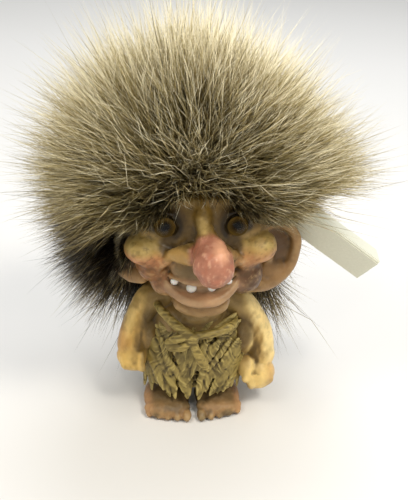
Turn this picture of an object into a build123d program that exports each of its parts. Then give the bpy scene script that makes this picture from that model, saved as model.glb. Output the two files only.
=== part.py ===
from build123d import *
import math
import os

# A small moulded troll figure with glass eyes and a great mane of fake fur.
# Lengths are millimetres. The figure stands on z = 0 and faces -Y, so its own left side is at +X.

# Driving dimensions of the castings
head_radius = 20.0
casting_wall = 2.4
body_height = 39.0
body_width = 28.4
body_depth = 20.8
leg_height = 9.0
leg_radius = 5.6
leg_spread = 14.2
neck_radius = 7.0
neck_depth = 5.0

# Clearances: of glued or pushed-in pieces, and of soft pieces and their neighbours
fit_gap = 0.1
soft_gap = 0.3
overrun = 5.0

# Tunic and the tie round its neck
tunic_wall = 1.8
hem_drop = 2.0
strand_count = 22
strand_width = 3.0
tie_height = 1.9
tie_proud = 0.7
tie_radius = 1.1
tie_loop_radius = 2.4
tie_end_length = 6.0

# Arms
arm_stub_radius = 2.9
shoulder_radius = 5.0
elbow_radius = 4.4
fist_radius = 4.6
finger_radius = 1.6

# Feet
foot_length = 25.0
foot_width = 15.0
foot_gap = 1.4
hem_clearance = 0.6
instep_fillet = 1.6
toe_radius = 2.7

# Ears
ear_height = 21.0
ear_width = 15.0
ear_thickness = 4.0
ear_fillet = 1.2
ear_rim = 2.0
ear_dish = 2.2
ear_lean = 12

# Glass eyes
eye_diameter = 6.0
eye_disc = 0.4
pupil_diameter = 2.3
eye_wire = 0.8
eye_wire_length = 7.0

# Mouth and teeth
mouth_width = 20.8
mouth_open = 3.0
lip_radius = 2.0
tooth_width = 2.3
tooth_height = 2.0
tooth_length = 2.2
tooth_fillet = 0.4

# Fur, its backing and the plug below it
backing_wall = 1.0
plug_radius = 5.0
mane_rise = 42.0
mane_spread = 40.0
mane_fringe = 27.0
mane_nape = 25.0
whorl_radius = 19.0
whorl_depth = 8.0
panel_gap = 0.3

# Hang tag and the loop that holds it
tag_length = 36.0
tag_width = 12.0
tag_card = 0.5
tag_margin = 3.0
tag_hole_radius = 0.9
tag_spread = 50
tag_swing = 8
tag_closes = 25
tag_opens = 8
tag_room = 1.5
crease_gap = 0.3
crease_radius = 0.2
leaf_step = 4.5
loop_radius = 6.2
loop_wire = 0.8

os.makedirs("parts", exist_ok=True)
sides = {"right": -1, "left": 1}
half_width = body_width / 2
half_depth = body_depth / 2
hem_height = leg_height - hem_drop
head_centre = Vector(0, 0.05 * head_radius, body_height + 1.35 * head_radius)
mane_top = head_centre.Z + head_radius + mane_rise
mane_side = head_radius + mane_spread


# A point of the head, in shares of the skull's radius from the skull's centre
def on_head(place_share, side=1):
    across_share, forth_share, up_share = place_share
    return head_centre + Vector(side * across_share, forth_share, up_share) * head_radius


# Round swellings of the face: place and radius, both in shares of the skull's radius
jaw_share = ((0.02, -0.30, -0.60), 0.70)
muzzle_share = ((0.02, -0.55, -0.675), 0.575)
chin_share = ((0.05, -0.90, -1.02), 0.28)
bulb_share = ((0.11, -1.525, -0.02), 0.305)
cheek_share = ((0.825, -0.825, -0.125), 0.29)
jowl_share = ((0.62, -0.70, -0.66), 0.31)
brow_share = ((0.46, -0.70, 0.50), 0.24)
eyelid_share = ((0.51, -0.74, 0.225), 0.25)
nostril_share = ((0.27, -1.02, -0.16), 0.18)
nose_root_share = ((0.0, -0.80, 0.36), 0.15)
nose_taper_share = 0.9
jaw_cavity_share = 0.46
neck_bore_share = 0.6

eye_share = (0.51, -0.86, 0.225)
mouth_share = (0.02, -0.86, -0.63)
corner_rise_share = 0.08
ear_boss_share = (0.925, -0.20, -0.68)
ear_boss_radius_share = 0.26

# Head, still solid: skull, face, nose, landings for the ears and a neck
with BuildPart() as head_solid:
    with Locations(head_centre):
        Sphere(head_radius)
    for place_share, radius_share in (jaw_share, muzzle_share, chin_share, bulb_share):
        with Locations(on_head(place_share)):
            Sphere(radius_share * head_radius)
    for place_share, radius_share in (cheek_share, jowl_share, brow_share, eyelid_share, nostril_share):
        with Locations(*[on_head(place_share, side) for side in sides.values()]):
            Sphere(radius_share * head_radius)
    nose_root = on_head(nose_root_share[0])
    nose_tip = on_head(bulb_share[0])
    with BuildSketch(Plane(origin=nose_root, z_dir=nose_tip - nose_root)):
        Circle(nose_root_share[1] * head_radius)
    with BuildSketch(Plane(origin=nose_tip, z_dir=nose_tip - nose_root)):
        Circle(nose_taper_share * bulb_share[1] * head_radius)
    loft()
    for side in sides.values():
        with BuildSketch(Plane(origin=on_head(ear_boss_share, side), z_dir=(-side, 0, 0))):
            Circle(ear_boss_radius_share * head_radius)
        extrude(amount=0.5 * head_radius)
    with BuildSketch(Plane.XY.offset(body_height - neck_depth)):
        Circle(neck_radius)
    extrude(amount=neck_depth + 0.5 * head_radius)

# Lower lip: a roll of rubber under the grin
mouth_middle = on_head(mouth_share)
mouth_back = mouth_middle.Y
corner_rise = corner_rise_share * mouth_width
muzzle_front = on_head(muzzle_share[0]).Y - muzzle_share[1] * head_radius
lip_corner = Vector(0.46 * mouth_width, 0.2 * mouth_width, lip_radius + 0.8 * mouth_open)
lip_low = Vector(mouth_middle.X, muzzle_front, mouth_middle.Z - mouth_open - lip_radius)
with BuildPart() as lower_lip:
    with BuildLine():
        lip_arc = ThreePointArc(
            lip_low + Vector(-lip_corner.X, lip_corner.Y, lip_corner.Z), lip_low, lip_low + lip_corner
        )
    with BuildSketch(Plane(origin=lip_arc @ 0, z_dir=lip_arc % 0)):
        Circle(lip_radius)
    sweep()

# The loop of the hang tag runs through the fur's backing and a shallow groove in the head.
# The tag's own directions are along its length, across it, and out of its upper leaf
tag_hole_share = (1.49, 0.183, 0.22)
tag_run = Vector(0.80, -0.27, -0.53).normalized()
tag_up = tag_run.cross(Vector(0.20, 0.96, -0.17)).normalized()
tag_across = tag_up.cross(tag_run)
tag_hole = on_head(tag_hole_share)
outward = (tag_hole - head_centre).normalized()
loop_reach = (outward - tag_up * outward.dot(tag_up)).normalized()
loop_plane = Plane(
    origin=tag_hole - loop_reach * loop_radius, x_dir=loop_reach, z_dir=tag_up.cross(loop_reach)
)


# A ring on the loop's line, thicker than the wire by a clearance all round
def loop_ring(clearance):
    with BuildPart() as ring:
        with BuildSketch(Plane(origin=tag_hole, x_dir=loop_reach, z_dir=tag_up)):
            Circle(loop_wire / 2 + clearance)
        revolve(axis=Axis(loop_plane.origin, loop_plane.z_dir))
    return ring.part


tag_loop = loop_ring(0)
loop_groove = loop_ring(fit_gap)

with BuildPart() as head_casting:
    add(head_solid.part)
    add(lower_lip.part)
    # The hollow of the skull, of the jaw and down the neck
    with Locations(head_centre):
        Sphere(head_radius - casting_wall, mode=Mode.SUBTRACT)
    with Locations(on_head(jaw_share[0])):
        Sphere(jaw_cavity_share * head_radius, mode=Mode.SUBTRACT)
    with BuildSketch(Plane.XY.offset(body_height - neck_depth)):
        Circle(neck_bore_share * neck_radius)
    extrude(amount=neck_depth + 0.7 * head_radius, mode=Mode.SUBTRACT)
    # The pour hole in the crown
    with BuildSketch(Plane.XY.offset(head_centre.Z)):
        with Locations((head_centre.X, head_centre.Y)):
            Circle(plug_radius)
    extrude(amount=head_radius + overrun, mode=Mode.SUBTRACT)
    # Eye sockets with a narrow hole for each wire
    for side in sides.values():
        with BuildSketch(Plane(origin=on_head(eye_share, side), z_dir=(0, -1, 0))):
            Circle(eye_diameter / 2 + fit_gap)
        extrude(amount=eye_diameter + overrun, mode=Mode.SUBTRACT)
        with BuildSketch(Plane(origin=on_head(eye_share, side), z_dir=(0, 1, 0))):
            Circle(eye_wire / 2 + fit_gap)
        extrude(amount=eye_wire_length + overrun, mode=Mode.SUBTRACT)
    # The grin, a crescent sunk into the muzzle as far as a flat back wall
    with BuildSketch(Plane(origin=mouth_middle, x_dir=(1, 0, 0), z_dir=(0, -1, 0))):
        with BuildLine():
            ThreePointArc((-mouth_width / 2, corner_rise), (0, 0), (mouth_width / 2, corner_rise))
            ThreePointArc((-mouth_width / 2, corner_rise), (0, -mouth_open), (mouth_width / 2, corner_rise))
        make_face()
    extrude(amount=0.5 * head_radius, mode=Mode.SUBTRACT)
    add(loop_groove, mode=Mode.SUBTRACT)
head_casting.part.label = "head_casting"
export_step(head_casting.part, "parts/head_casting.step")

# Ears: a leaning oval dish whose flat root meets the landing on the head
backing_radius = head_radius + soft_gap + backing_wall
for name, side in sides.items():
    root = on_head(ear_boss_share, side)
    ear_front = Plane(
        origin=root + Vector(side * 0.42 * ear_width, -ear_thickness / 2, 0.1 * ear_height),
        x_dir=(math.cos(math.radians(ear_lean)), 0, -side * math.sin(math.radians(ear_lean))),
        z_dir=(0, -1, 0),
    )
    with BuildPart() as ear:
        with BuildSketch(ear_front):
            Ellipse(ear_width / 2, ear_height / 2)
        extrude(amount=-ear_thickness)
        fillet(ear.edges(), ear_fillet)
        with BuildSketch(ear_front):
            Ellipse(ear_width / 2 - ear_rim, ear_height / 2 - ear_rim)
        extrude(amount=-ear_dish, mode=Mode.SUBTRACT)
        with BuildSketch(Plane(origin=root, z_dir=(-side, 0, 0))):
            Rectangle(2 * ear_height, 2 * ear_height)
        extrude(amount=ear_width, mode=Mode.SUBTRACT)
        with Locations(head_centre):
            Sphere(backing_radius + soft_gap, mode=Mode.SUBTRACT)
        with Locations(*[on_head(jowl_share[0], side), on_head(cheek_share[0], side)]):
            Sphere(jowl_share[1] * head_radius + fit_gap, mode=Mode.SUBTRACT)
    ear.part.label = name + "_ear"
    export_step(ear.part, "parts/" + name + "_ear.step")

# A barrel through oval sections, which the body, the tunic and the tie share.
# Each section: height in shares of the trunk, then width and depth in shares of the body's
section_shares = ((0.0, 0.93, 0.92), (0.37, 1.0, 1.0), (0.73, 0.87, 0.88), (1.0, 0.67, 0.79))


def barrel(outset):
    trunk = body_height - leg_height
    with BuildPart() as shape:
        with BuildSketch(Plane.XY.offset(hem_height)):
            Ellipse(
                section_shares[0][1] * half_width + outset, section_shares[0][2] * half_depth + outset
            )
        for height_share, width_share, depth_share in section_shares:
            with BuildSketch(Plane.XY.offset(leg_height + height_share * trunk)):
                Ellipse(width_share * half_width + outset, depth_share * half_depth + outset)
        loft()
    return shape.part


tunic_outset = fit_gap + tunic_wall
trunk_shape = barrel(0)
trunk_hollow = barrel(-casting_wall)
tunic_inner = barrel(fit_gap)
tunic_outer = barrel(tunic_outset)
tie_outer = barrel(tunic_outset + tie_proud)
arm_room = barrel(tunic_outset + soft_gap)

# Body casting: hollow, with a neck socket and a stub that carries each arm
stub_height = 0.75 * body_height
stub_end = 0.93 * half_width + tunic_outset
with BuildPart() as body_cavity:
    add(trunk_hollow)
    with BuildSketch(Plane.XY.offset(leg_height + casting_wall)):
        Rectangle(body_width, body_depth)
    extrude(amount=body_height - neck_depth - leg_height - 2 * casting_wall, mode=Mode.INTERSECT)

with BuildPart() as body_casting:
    add(trunk_shape)
    with BuildSketch(Plane.XY.offset(leg_height)):
        Rectangle(2 * body_width, 2 * body_depth)
    extrude(amount=-2 * hem_drop, mode=Mode.SUBTRACT)
    for side in sides.values():
        with BuildSketch(Plane(origin=(side * stub_end, 0, stub_height), z_dir=(-side, 0, 0))):
            Circle(arm_stub_radius)
        extrude(amount=stub_end - 0.5 * half_width)
    add(body_cavity.part, mode=Mode.SUBTRACT)
    with BuildSketch(Plane.XY.offset(body_height - neck_depth)):
        Circle(neck_radius + fit_gap)
    extrude(amount=neck_depth + overrun, mode=Mode.SUBTRACT)
    with BuildSketch(Plane.XY.offset(body_height - neck_depth)):
        Circle(neck_bore_share * neck_radius)
    extrude(amount=-2 * casting_wall, mode=Mode.SUBTRACT)
body_casting.part.label = "body_casting"
export_step(body_casting.part, "parts/body_casting.step")

# Tunic: a shell round the trunk whose hem is cut into pointed strands
neck_slope = 0.25
neck_edge = Plane(
    origin=(0, -half_depth - tunic_outset, 0.78 * body_height), x_dir=(1, 0, 0), z_dir=(0, -neck_slope, 1)
)
with BuildPart() as tunic:
    add(tunic_outer)
    add(tunic_inner, mode=Mode.SUBTRACT)
    with BuildSketch(neck_edge):
        Rectangle(4 * body_width, 4 * body_width)
    extrude(amount=body_height, mode=Mode.SUBTRACT)
    with BuildSketch(Plane.YZ.offset(-stub_end - overrun)):
        with Locations((0, stub_height)):
            Circle(arm_stub_radius + fit_gap)
    extrude(amount=2 * (stub_end + overrun), mode=Mode.SUBTRACT)
    with Locations((0, 0, hem_height)):
        with PolarLocations(half_width, strand_count):
            Box(body_width, strand_width, strand_width, rotation=(45, 0, 0), mode=Mode.SUBTRACT)
tunic.part.label = "tunic"
export_step(tunic.part, "parts/tunic.step")

# Tie: a band on the tunic's upper edge, with a knot, one loop and one hanging end in front
knot = Vector(-0.09 * half_width, -half_depth - tunic_outset - 0.2 * tie_radius, neck_edge.origin.Z)
with BuildPart() as tunic_tie:
    add(tie_outer)
    add(tunic_inner, mode=Mode.SUBTRACT)
    with BuildSketch(neck_edge):
        Rectangle(4 * body_width, 4 * body_width)
    extrude(amount=tie_height, mode=Mode.INTERSECT)
    with Locations(knot):
        Sphere(1.7 * tie_radius)
    with Locations(knot + Vector(-0.9 * tie_loop_radius, 0, -0.7 * tie_loop_radius)):
        Torus(tie_loop_radius, 0.8 * tie_radius, rotation=(90, 0, 0))
    with BuildSketch(Plane(origin=knot, z_dir=(0.5, -0.12, -1))):
        Circle(tie_radius)
    extrude(amount=tie_end_length)
    add(tunic_outer, mode=Mode.SUBTRACT)
    add(tunic_inner, mode=Mode.SUBTRACT)
tunic_tie.part.label = "tunic_tie"
export_step(tunic_tie.part, "parts/tunic_tie.step")

# Arms: shoulder, elbow and fist in shares of the body's half width, half depth and height.
# The left fist hangs at the thigh, the right one rests at the hip.
arm_shares = {
    "right": ((1.27, 0.0, 0.83), (1.47, -0.08, 0.66), (1.43, -0.44, 0.53)),
    "left": ((1.27, 0.0, 0.83), (1.55, -0.05, 0.59), (1.43, -0.58, 0.33)),
}
arm_radii = (shoulder_radius, elbow_radius, fist_radius)
limb_taper_share = 0.93
finger_turns = (-60, -25, 10, 45)
for name, side in sides.items():
    joints = [
        Vector(side * across_share * half_width, forth_share * half_depth, up_share * body_height)
        for across_share, forth_share, up_share in arm_shares[name]
    ]
    with BuildPart() as arm:
        for place, radius in zip(joints, arm_radii):
            with Locations(place):
                Sphere(radius)
        for start, end, start_radius, end_radius in zip(joints, joints[1:], arm_radii, arm_radii[1:]):
            with BuildSketch(Plane(origin=start, z_dir=end - start)):
                Circle(limb_taper_share * start_radius)
            with BuildSketch(Plane(origin=end, z_dir=end - start)):
                Circle(limb_taper_share * end_radius)
            loft()
        # Knuckles across the front of the fist
        for turn in finger_turns:
            swing = math.radians(turn)
            with Locations(joints[-1] + Vector(math.sin(swing), -math.cos(swing), -0.45) * 0.8 * fist_radius):
                Sphere(finger_radius)
        with BuildSketch(Plane(origin=(side * stub_end, 0, stub_height), z_dir=(-side, 0, 0))):
            Rectangle(body_height, body_height)
        extrude(amount=half_width, mode=Mode.SUBTRACT)
        add(arm_room, mode=Mode.SUBTRACT)
    arm.part.label = name + "_arm"
    export_step(arm.part, "parts/" + name + "_arm.step")

# Legs: a short shank on a broad bare foot. A toe's place across the foot and its size, big toe first
instep_height = hem_height - hem_clearance
heel_share = 0.38
ball_share = 0.27
toe_shares = ((-0.33, 1.0), (-0.13, 0.85), (0.06, 0.8), (0.23, 0.75), (0.38, 0.66))
toe_line_share = 0.10
foot_back = 0.38 * foot_length
for name, side in sides.items():
    foot_x = side * (foot_gap + foot_width) / 2
    ball_y = foot_back - foot_length + (ball_share + 0.12) * foot_width
    with BuildPart() as leg:
        with BuildSketch():
            with Locations((foot_x, foot_back - heel_share * foot_width)):
                Circle(heel_share * foot_width)
            with Locations(
                (foot_x - (0.5 - ball_share) * foot_width, ball_y),
                (foot_x + (0.5 - ball_share) * foot_width, ball_y),
            ):
                Circle(ball_share * foot_width)
            make_hull()
        extrude(amount=instep_height)
        fillet(leg.faces().sort_by(Axis.Z)[-1].edges(), instep_fillet)
        for across_share, size_share in toe_shares:
            radius = size_share * toe_radius
            slant = toe_line_share * foot_length * (across_share - toe_shares[0][0])
            tip = Vector(
                foot_x + side * across_share * foot_width,
                foot_back - foot_length + radius + slant,
                0.8 * radius,
            )
            with Locations(tip):
                Sphere(radius)
            with BuildSketch(Plane(origin=tip, z_dir=(0, 1, 0))):
                Circle(limb_taper_share * radius)
            extrude(amount=0.25 * foot_length)
        with BuildSketch(Plane.XY.offset(instep_height / 2)):
            with Locations((side * leg_spread / 2, 0)):
                Circle(leg_radius)
        extrude(amount=leg_height - instep_height / 2)
        # The sole is flat on the floor
        with BuildSketch():
            Rectangle(4 * foot_length, 4 * foot_length)
        extrude(amount=-toe_radius, mode=Mode.SUBTRACT)
    leg.part.label = name + "_leg"
    export_step(leg.part, "parts/" + name + "_leg.step")

# Eyes: a clear glass dome, the painted ring and pupil behind it, and a wire into the head
eye_radius = eye_diameter / 2
wire_eyelet = 1.5 * eye_wire
for name, side in sides.items():
    seat = on_head(eye_share, side)
    disc_front = Plane(origin=seat - Vector(0, eye_disc, 0), x_dir=(1, 0, 0), z_dir=(0, -1, 0))
    with BuildPart() as eye_glass:
        with BuildSketch(disc_front):
            Circle(eye_radius)
        extrude(amount=eye_radius)
        with Locations(disc_front):
            Sphere(eye_radius, mode=Mode.INTERSECT)
    eye_glass.part.label = name + "_eye_glass"
    export_step(eye_glass.part, "parts/" + name + "_eye_glass.step")

    with BuildPart() as iris_ring:
        with BuildSketch(disc_front):
            Circle(eye_radius)
            Circle(pupil_diameter / 2, mode=Mode.SUBTRACT)
        extrude(amount=-eye_disc)
    iris_ring.part.label = name + "_iris_ring"
    export_step(iris_ring.part, "parts/" + name + "_iris_ring.step")

    with BuildPart() as pupil:
        with BuildSketch(disc_front):
            Circle(pupil_diameter / 2)
        extrude(amount=-eye_disc)
    pupil.part.label = name + "_pupil"
    export_step(pupil.part, "parts/" + name + "_pupil.step")

    with BuildPart() as wire:
        with BuildSketch(Plane(origin=seat, z_dir=(0, 1, 0))):
            Circle(eye_wire / 2)
        extrude(amount=eye_wire_length)
        with Locations(seat + Vector(0, eye_wire_length + wire_eyelet - 0.2 * eye_wire, 0)):
            Torus(wire_eyelet, eye_wire / 2)
    wire.part.label = name + "_eye_wire"
    export_step(wire.part, "parts/" + name + "_eye_wire.step")

# Teeth: four pegs that stand out of the mouth's back wall, with gaps between them
tooth_shares = (-0.76, -0.30, 0.27, 0.74)
with BuildPart() as teeth:
    for across_share in tooth_shares:
        top = mouth_middle.Z + corner_rise * across_share**2 - fit_gap
        with BuildSketch(Plane(origin=(0, mouth_back, 0), x_dir=(1, 0, 0), z_dir=(0, -1, 0))):
            with Locations((mouth_middle.X + across_share * mouth_width / 2, top)):
                RectangleRounded(
                    tooth_width * (1 - 0.45 * across_share**2),
                    tooth_height * (1 - 0.45 * across_share**2),
                    tooth_fillet,
                    align=(Align.CENTER, Align.MAX),
                )
        extrude(amount=tooth_length)
    add(head_casting.part, mode=Mode.SUBTRACT)
teeth.part.label = "teeth"
export_step(teeth.part, "parts/teeth.step")

# Plug of the pour hole, flush with the crown
with BuildPart() as pour_plug:
    with BuildSketch(Plane.XY.offset(head_centre.Z + 0.8 * head_radius)):
        with Locations((head_centre.X, head_centre.Y)):
            Circle(plug_radius - fit_gap)
    extrude(amount=head_radius)
    with Locations(head_centre):
        Sphere(head_radius, mode=Mode.INTERSECT)
pour_plug.part.label = "pour_plug"
export_step(pour_plug.part, "parts/pour_plug.step")

# Backing of the fur: a cap over the skull, cut by a slope from the hairline to the nape
hairline = Plane(
    origin=head_centre + Vector(0, -0.70, 0.72) * head_radius, x_dir=(1, 0, 0), z_dir=(0, 0.95, 1)
)
with BuildPart() as fur_backing:
    with Locations(head_centre):
        Sphere(backing_radius)
        Sphere(head_radius + soft_gap, mode=Mode.SUBTRACT)
    with BuildSketch(hairline):
        Rectangle(6 * head_radius, 6 * head_radius)
    extrude(amount=-4 * head_radius, mode=Mode.SUBTRACT)
    with Locations(*[on_head(brow_share[0], side) for side in sides.values()]):
        Sphere(brow_share[1] * head_radius + soft_gap, mode=Mode.SUBTRACT)
    add(loop_groove, mode=Mode.SUBTRACT)
fur_backing.part.label = "fur_backing"
export_step(fur_backing.part, "parts/fur_backing.step")

# Hang tag: a folded card. The upper leaf hangs on the loop and carries the rounded fold, on which
# the lower one opens. Opened further than tag_opens, the lower leaf would meet the ear
leaf_frame = Plane(origin=tag_hole, x_dir=tag_run, z_dir=tag_up)
crease = tag_hole - tag_across * tag_width / 2 - tag_up * tag_card / 2
fold_start = crease + tag_run * (leaf_step - tag_margin)
with BuildPart() as tag_upper_leaf:
    with BuildSketch(leaf_frame.offset(-tag_card / 2)):
        with Locations((tag_length / 2 - tag_margin, 0)):
            Rectangle(tag_length, tag_width)
        Circle(tag_hole_radius, mode=Mode.SUBTRACT)
    extrude(amount=tag_card)
    with BuildSketch(Plane(origin=fold_start, z_dir=tag_run)):
        Circle(crease_radius)
    extrude(amount=tag_length - leaf_step)
tag_upper_leaf.part.label = "tag_upper_leaf"
export_step(tag_upper_leaf.part, "parts/tag_upper_leaf.step")

lower_across = tag_across * math.cos(math.radians(tag_spread)) - tag_up * math.sin(math.radians(tag_spread))
lower_frame = Plane(origin=crease, x_dir=tag_run, z_dir=tag_run.cross(lower_across))
with BuildPart() as tag_lower_leaf:
    with BuildSketch(lower_frame):
        with Locations((tag_length - tag_margin, crease_gap)):
            Rectangle(tag_length - leaf_step, tag_width - crease_gap, align=(Align.MAX, Align.MIN))
    extrude(amount=-tag_card)
tag_lower_leaf.part.label = "tag_lower_leaf"
export_step(tag_lower_leaf.part, "parts/tag_lower_leaf.step")

tag_loop.label = "tag_loop"
export_step(tag_loop, "parts/tag_loop.step")

# Mane: a lopsided cloud of fur round the head, open over the face, the ears and the arms.
# Its outline from the front: angle up from the figure's left, and share of its reach there
mane_outline_shares = (
    (0, 0.955), (30, 0.96), (60, 0.965), (90, 1.0), (120, 0.99), (145, 1.0), (170, 0.967),
    (200, 0.87), (230, 0.82), (265, 0.89), (300, 0.92), (330, 0.935),
)
# Its sections from the fringe to the back: place in shares of its reach to the front or the back,
# then rise and size in shares of its reach to the top
mane_section_shares = (
    (-1.0, 0.36, 0.34), (-0.86, 0.26, 0.58), (-0.6, 0.13, 0.80), (-0.22, 0.03, 0.95), (0.04, 0.0, 1.0),
    (0.38, -0.02, 0.94), (0.68, -0.03, 0.78), (0.9, -0.05, 0.53), (1.0, -0.05, 0.26),
)
with BuildPart() as mane_envelope:
    for forth_share, rise_share, size_share in mane_section_shares:
        forth = forth_share * (head_radius + (mane_fringe if forth_share < 0 else mane_nape))
        middle = head_centre + Vector(0, forth, rise_share * (mane_top - head_centre.Z))
        with BuildSketch(Plane(origin=middle, x_dir=(1, 0, 0), z_dir=(0, -1, 0))):
            with BuildLine():
                Spline(*[
                    (
                        size_share * reach_share * mane_side * math.cos(math.radians(angle)),
                        size_share * reach_share * (mane_top - head_centre.Z) * math.sin(math.radians(angle)),
                    )
                    for angle, reach_share in mane_outline_shares
                ], periodic=True)
            make_face()
    loft()

# The fur's lower face, seen from the side: from the fringe over the brow, down behind the ears
# and behind the body. Shares of the skull's radius from its centre, to the front and up
lower_face_shares = ((-3.2, 1.75), (-0.95, 0.83), (-0.10, 0.05), (0.05, -0.40), (0.18, -0.65))
body_back = half_depth + tunic_outset + tie_proud + soft_gap
lower_face = [
    (head_centre.Y + forth_share * head_radius, head_centre.Z + up_share * head_radius)
    for forth_share, up_share in lower_face_shares
]
lower_face += [(body_back, lower_face[-1][1]), (body_back, -overrun)]
lower_face += [(mane_top, -overrun), (mane_top, mane_top + overrun), (-mane_top, mane_top + overrun)]
lower_face += [(-mane_top, lower_face[0][1])]

swing_room = tag_length * math.sin(math.radians(tag_swing)) + tag_room
lower_room = tag_width * math.sin(math.radians(tag_spread + tag_opens)) + tag_room
# The fur parts above the brow, where its strands lean away from a whorl and leave a shallow hollow
whorl = Vector(0, -0.66, 0.75).normalized()
whorl_reach_share = 0.93
whorl_place = head_centre + whorl * (
    whorl_reach_share * (mane_top - head_centre.Z) + whorl_radius - whorl_depth
)
with BuildPart() as mane:
    add(mane_envelope.part)
    with Locations(whorl_place):
        Sphere(whorl_radius, mode=Mode.SUBTRACT)
    with BuildSketch(Plane.YZ):
        with BuildLine():
            Polyline(*lower_face, close=True)
        make_face()
    extrude(amount=2 * mane_side, both=True, mode=Mode.INTERSECT)
    with Locations(head_centre):
        Sphere(backing_radius + soft_gap, mode=Mode.SUBTRACT)
    with Locations(on_head(jaw_share[0])):
        Sphere(jaw_share[1] * head_radius + soft_gap, mode=Mode.SUBTRACT)
    with Locations(*[on_head(brow_share[0], side) for side in sides.values()]):
        Sphere(brow_share[1] * head_radius + soft_gap, mode=Mode.SUBTRACT)
    # Room for the tag's swing, its lower leaf and its loop
    with BuildSketch(leaf_frame.offset(-lower_room)):
        with Locations((-tag_margin - tag_room, 0)):
            Rectangle(2 * mane_side, tag_width + 2 * swing_room, align=(Align.MIN, Align.CENTER))
    extrude(amount=lower_room + tag_room, mode=Mode.SUBTRACT)
    with Locations(loop_plane.origin):
        Sphere(loop_radius + loop_wire + soft_gap, mode=Mode.SUBTRACT)

# The fur is sewn from five panels: front, back, and between them right, crown and left
front_seam = head_centre.Y - 0.45 * head_radius
back_seam = body_back
crown_half = 0.6 * head_radius
far = 2 * mane_side
panels = {
    "mane_front": ((-far, -far), (far, front_seam)),
    "mane_back": ((-far, back_seam), (far, far)),
    "mane_right": ((-far, front_seam), (-crown_half, back_seam)),
    "mane_crown": ((-crown_half, front_seam), (crown_half, back_seam)),
    "mane_left": ((crown_half, front_seam), (far, back_seam)),
}
for name, ((low_x, low_y), (high_x, high_y)) in panels.items():
    with BuildPart() as panel:
        add(mane.part)
        with BuildSketch(Plane.XY.offset(-overrun)):
            with Locations(((low_x + high_x) / 2, (low_y + high_y) / 2)):
                Rectangle(high_x - low_x - panel_gap, high_y - low_y - panel_gap)
        extrude(amount=mane_top + 2 * overrun, mode=Mode.INTERSECT)
    panel.part.label = name
    export_step(panel.part, "parts/" + name + ".step")

span = mane.part.bounding_box()
print("mane spans", [round(value, 2) for value in (*span.min, *span.max)])
print("tag hole", [round(value, 3) for value in tag_hole], "swings about", [round(v, 4) for v in tag_up])
print("crease", [round(value, 3) for value in crease], "opens about", [round(v, 4) for v in tag_run])
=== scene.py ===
import math
from functools import partial

import bmesh
import bpy
import numpy as np
from mathutils import Euler, Matrix, Vector, noise


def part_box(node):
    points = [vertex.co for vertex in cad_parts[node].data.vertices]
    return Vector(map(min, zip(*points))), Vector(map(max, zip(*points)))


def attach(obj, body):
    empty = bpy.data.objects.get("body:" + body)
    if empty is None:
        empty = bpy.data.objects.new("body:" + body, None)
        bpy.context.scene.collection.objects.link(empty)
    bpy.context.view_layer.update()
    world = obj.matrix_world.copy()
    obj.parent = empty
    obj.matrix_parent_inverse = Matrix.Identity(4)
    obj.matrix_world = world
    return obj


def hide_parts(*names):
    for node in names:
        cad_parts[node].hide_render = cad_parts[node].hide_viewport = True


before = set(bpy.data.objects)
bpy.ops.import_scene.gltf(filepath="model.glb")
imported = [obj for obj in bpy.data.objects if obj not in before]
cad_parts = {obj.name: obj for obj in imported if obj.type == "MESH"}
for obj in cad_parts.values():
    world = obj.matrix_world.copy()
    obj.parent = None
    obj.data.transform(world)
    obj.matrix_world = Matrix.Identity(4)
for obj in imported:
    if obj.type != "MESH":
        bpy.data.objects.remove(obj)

# A folk troll of painted rubber with glass eyes and a great mane of fake fur.
# Places and sizes are in millimetres, and mm turns them into metres.
# The figure faces -Y, so side -1 is the viewer's left and side 1 the viewer's right.

scene = bpy.context.scene
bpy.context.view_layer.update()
mm = 0.001
figure = "figure"
sides = (-1, 1)
headCentre = np.array((0.0, 1.0, 66.0))
eyes = {"across": 10.2, "height": 70.5, "rimRadius": 3.7, "socketRadius": 3.35, "socketFloor": -15.9}


def smoothStep(low, high, values):
    t = np.clip((values - low) / (high - low), 0, 1)
    return t * t * (3 - 2 * t)


def unit(vectors):
    return vectors / np.maximum(np.linalg.norm(vectors, axis=-1, keepdims=True), 1e-9)


# Colours are written as sRGB hex and turned to linear here
def linear(hexText):
    parts = [int(hexText[i:i + 2], 16) / 255 for i in (1, 3, 5)]
    return tuple(c / 12.92 if c <= 0.04045 else ((c + 0.055) / 1.055) ** 2.4 for c in parts) + (1,)


# Adds a shader node; an input may be a plain value, a socket, or a node, which gives its first live output
def addNode(tree, kind, inputs=None, **settings):
    node = tree.nodes.new("ShaderNode" + kind)
    for name, value in settings.items():
        setattr(node, name, value)
    for key, value in (inputs or {}).items():
        if isinstance(value, bpy.types.Node):
            value = next(output for output in value.outputs if output.enabled)
        if isinstance(value, bpy.types.NodeSocket):
            tree.links.new(value, node.inputs[key])
        else:
            node.inputs[key].default_value = value
    return node


# Colours of a ramp node by position, from lowest to highest
def fillRamp(node, stops):
    elements = node.color_ramp.elements
    for element, (position, hexText) in zip((elements[0], elements[-1]), (stops[0], stops[-1])):
        element.position, element.color = position, linear(hexText)
    for position, hexText in stops[1:-1]:
        elements.new(position).color = linear(hexText)


# An empty material, and the function that adds its nodes
def startMaterial(name):
    material = bpy.data.materials.new(name)
    material.use_nodes = True
    material.node_tree.nodes.clear()
    return material, partial(addNode, material.node_tree)


def toMesh(bm, name):
    mesh = bpy.data.meshes.new(name)
    bm.to_mesh(mesh)
    bm.free()
    return mesh


def addPiece(name, mesh, material, slotName, *nodes):
    mesh.materials.append(material)
    mesh.polygons.foreach_set("use_smooth", np.ones(len(mesh.polygons), bool))
    piece = bpy.data.objects.new(name, mesh)
    scene.collection.objects.link(piece)
    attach(piece, figure)
    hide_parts(*nodes)
    print(name, "has", len(mesh.polygons), "faces")


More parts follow.
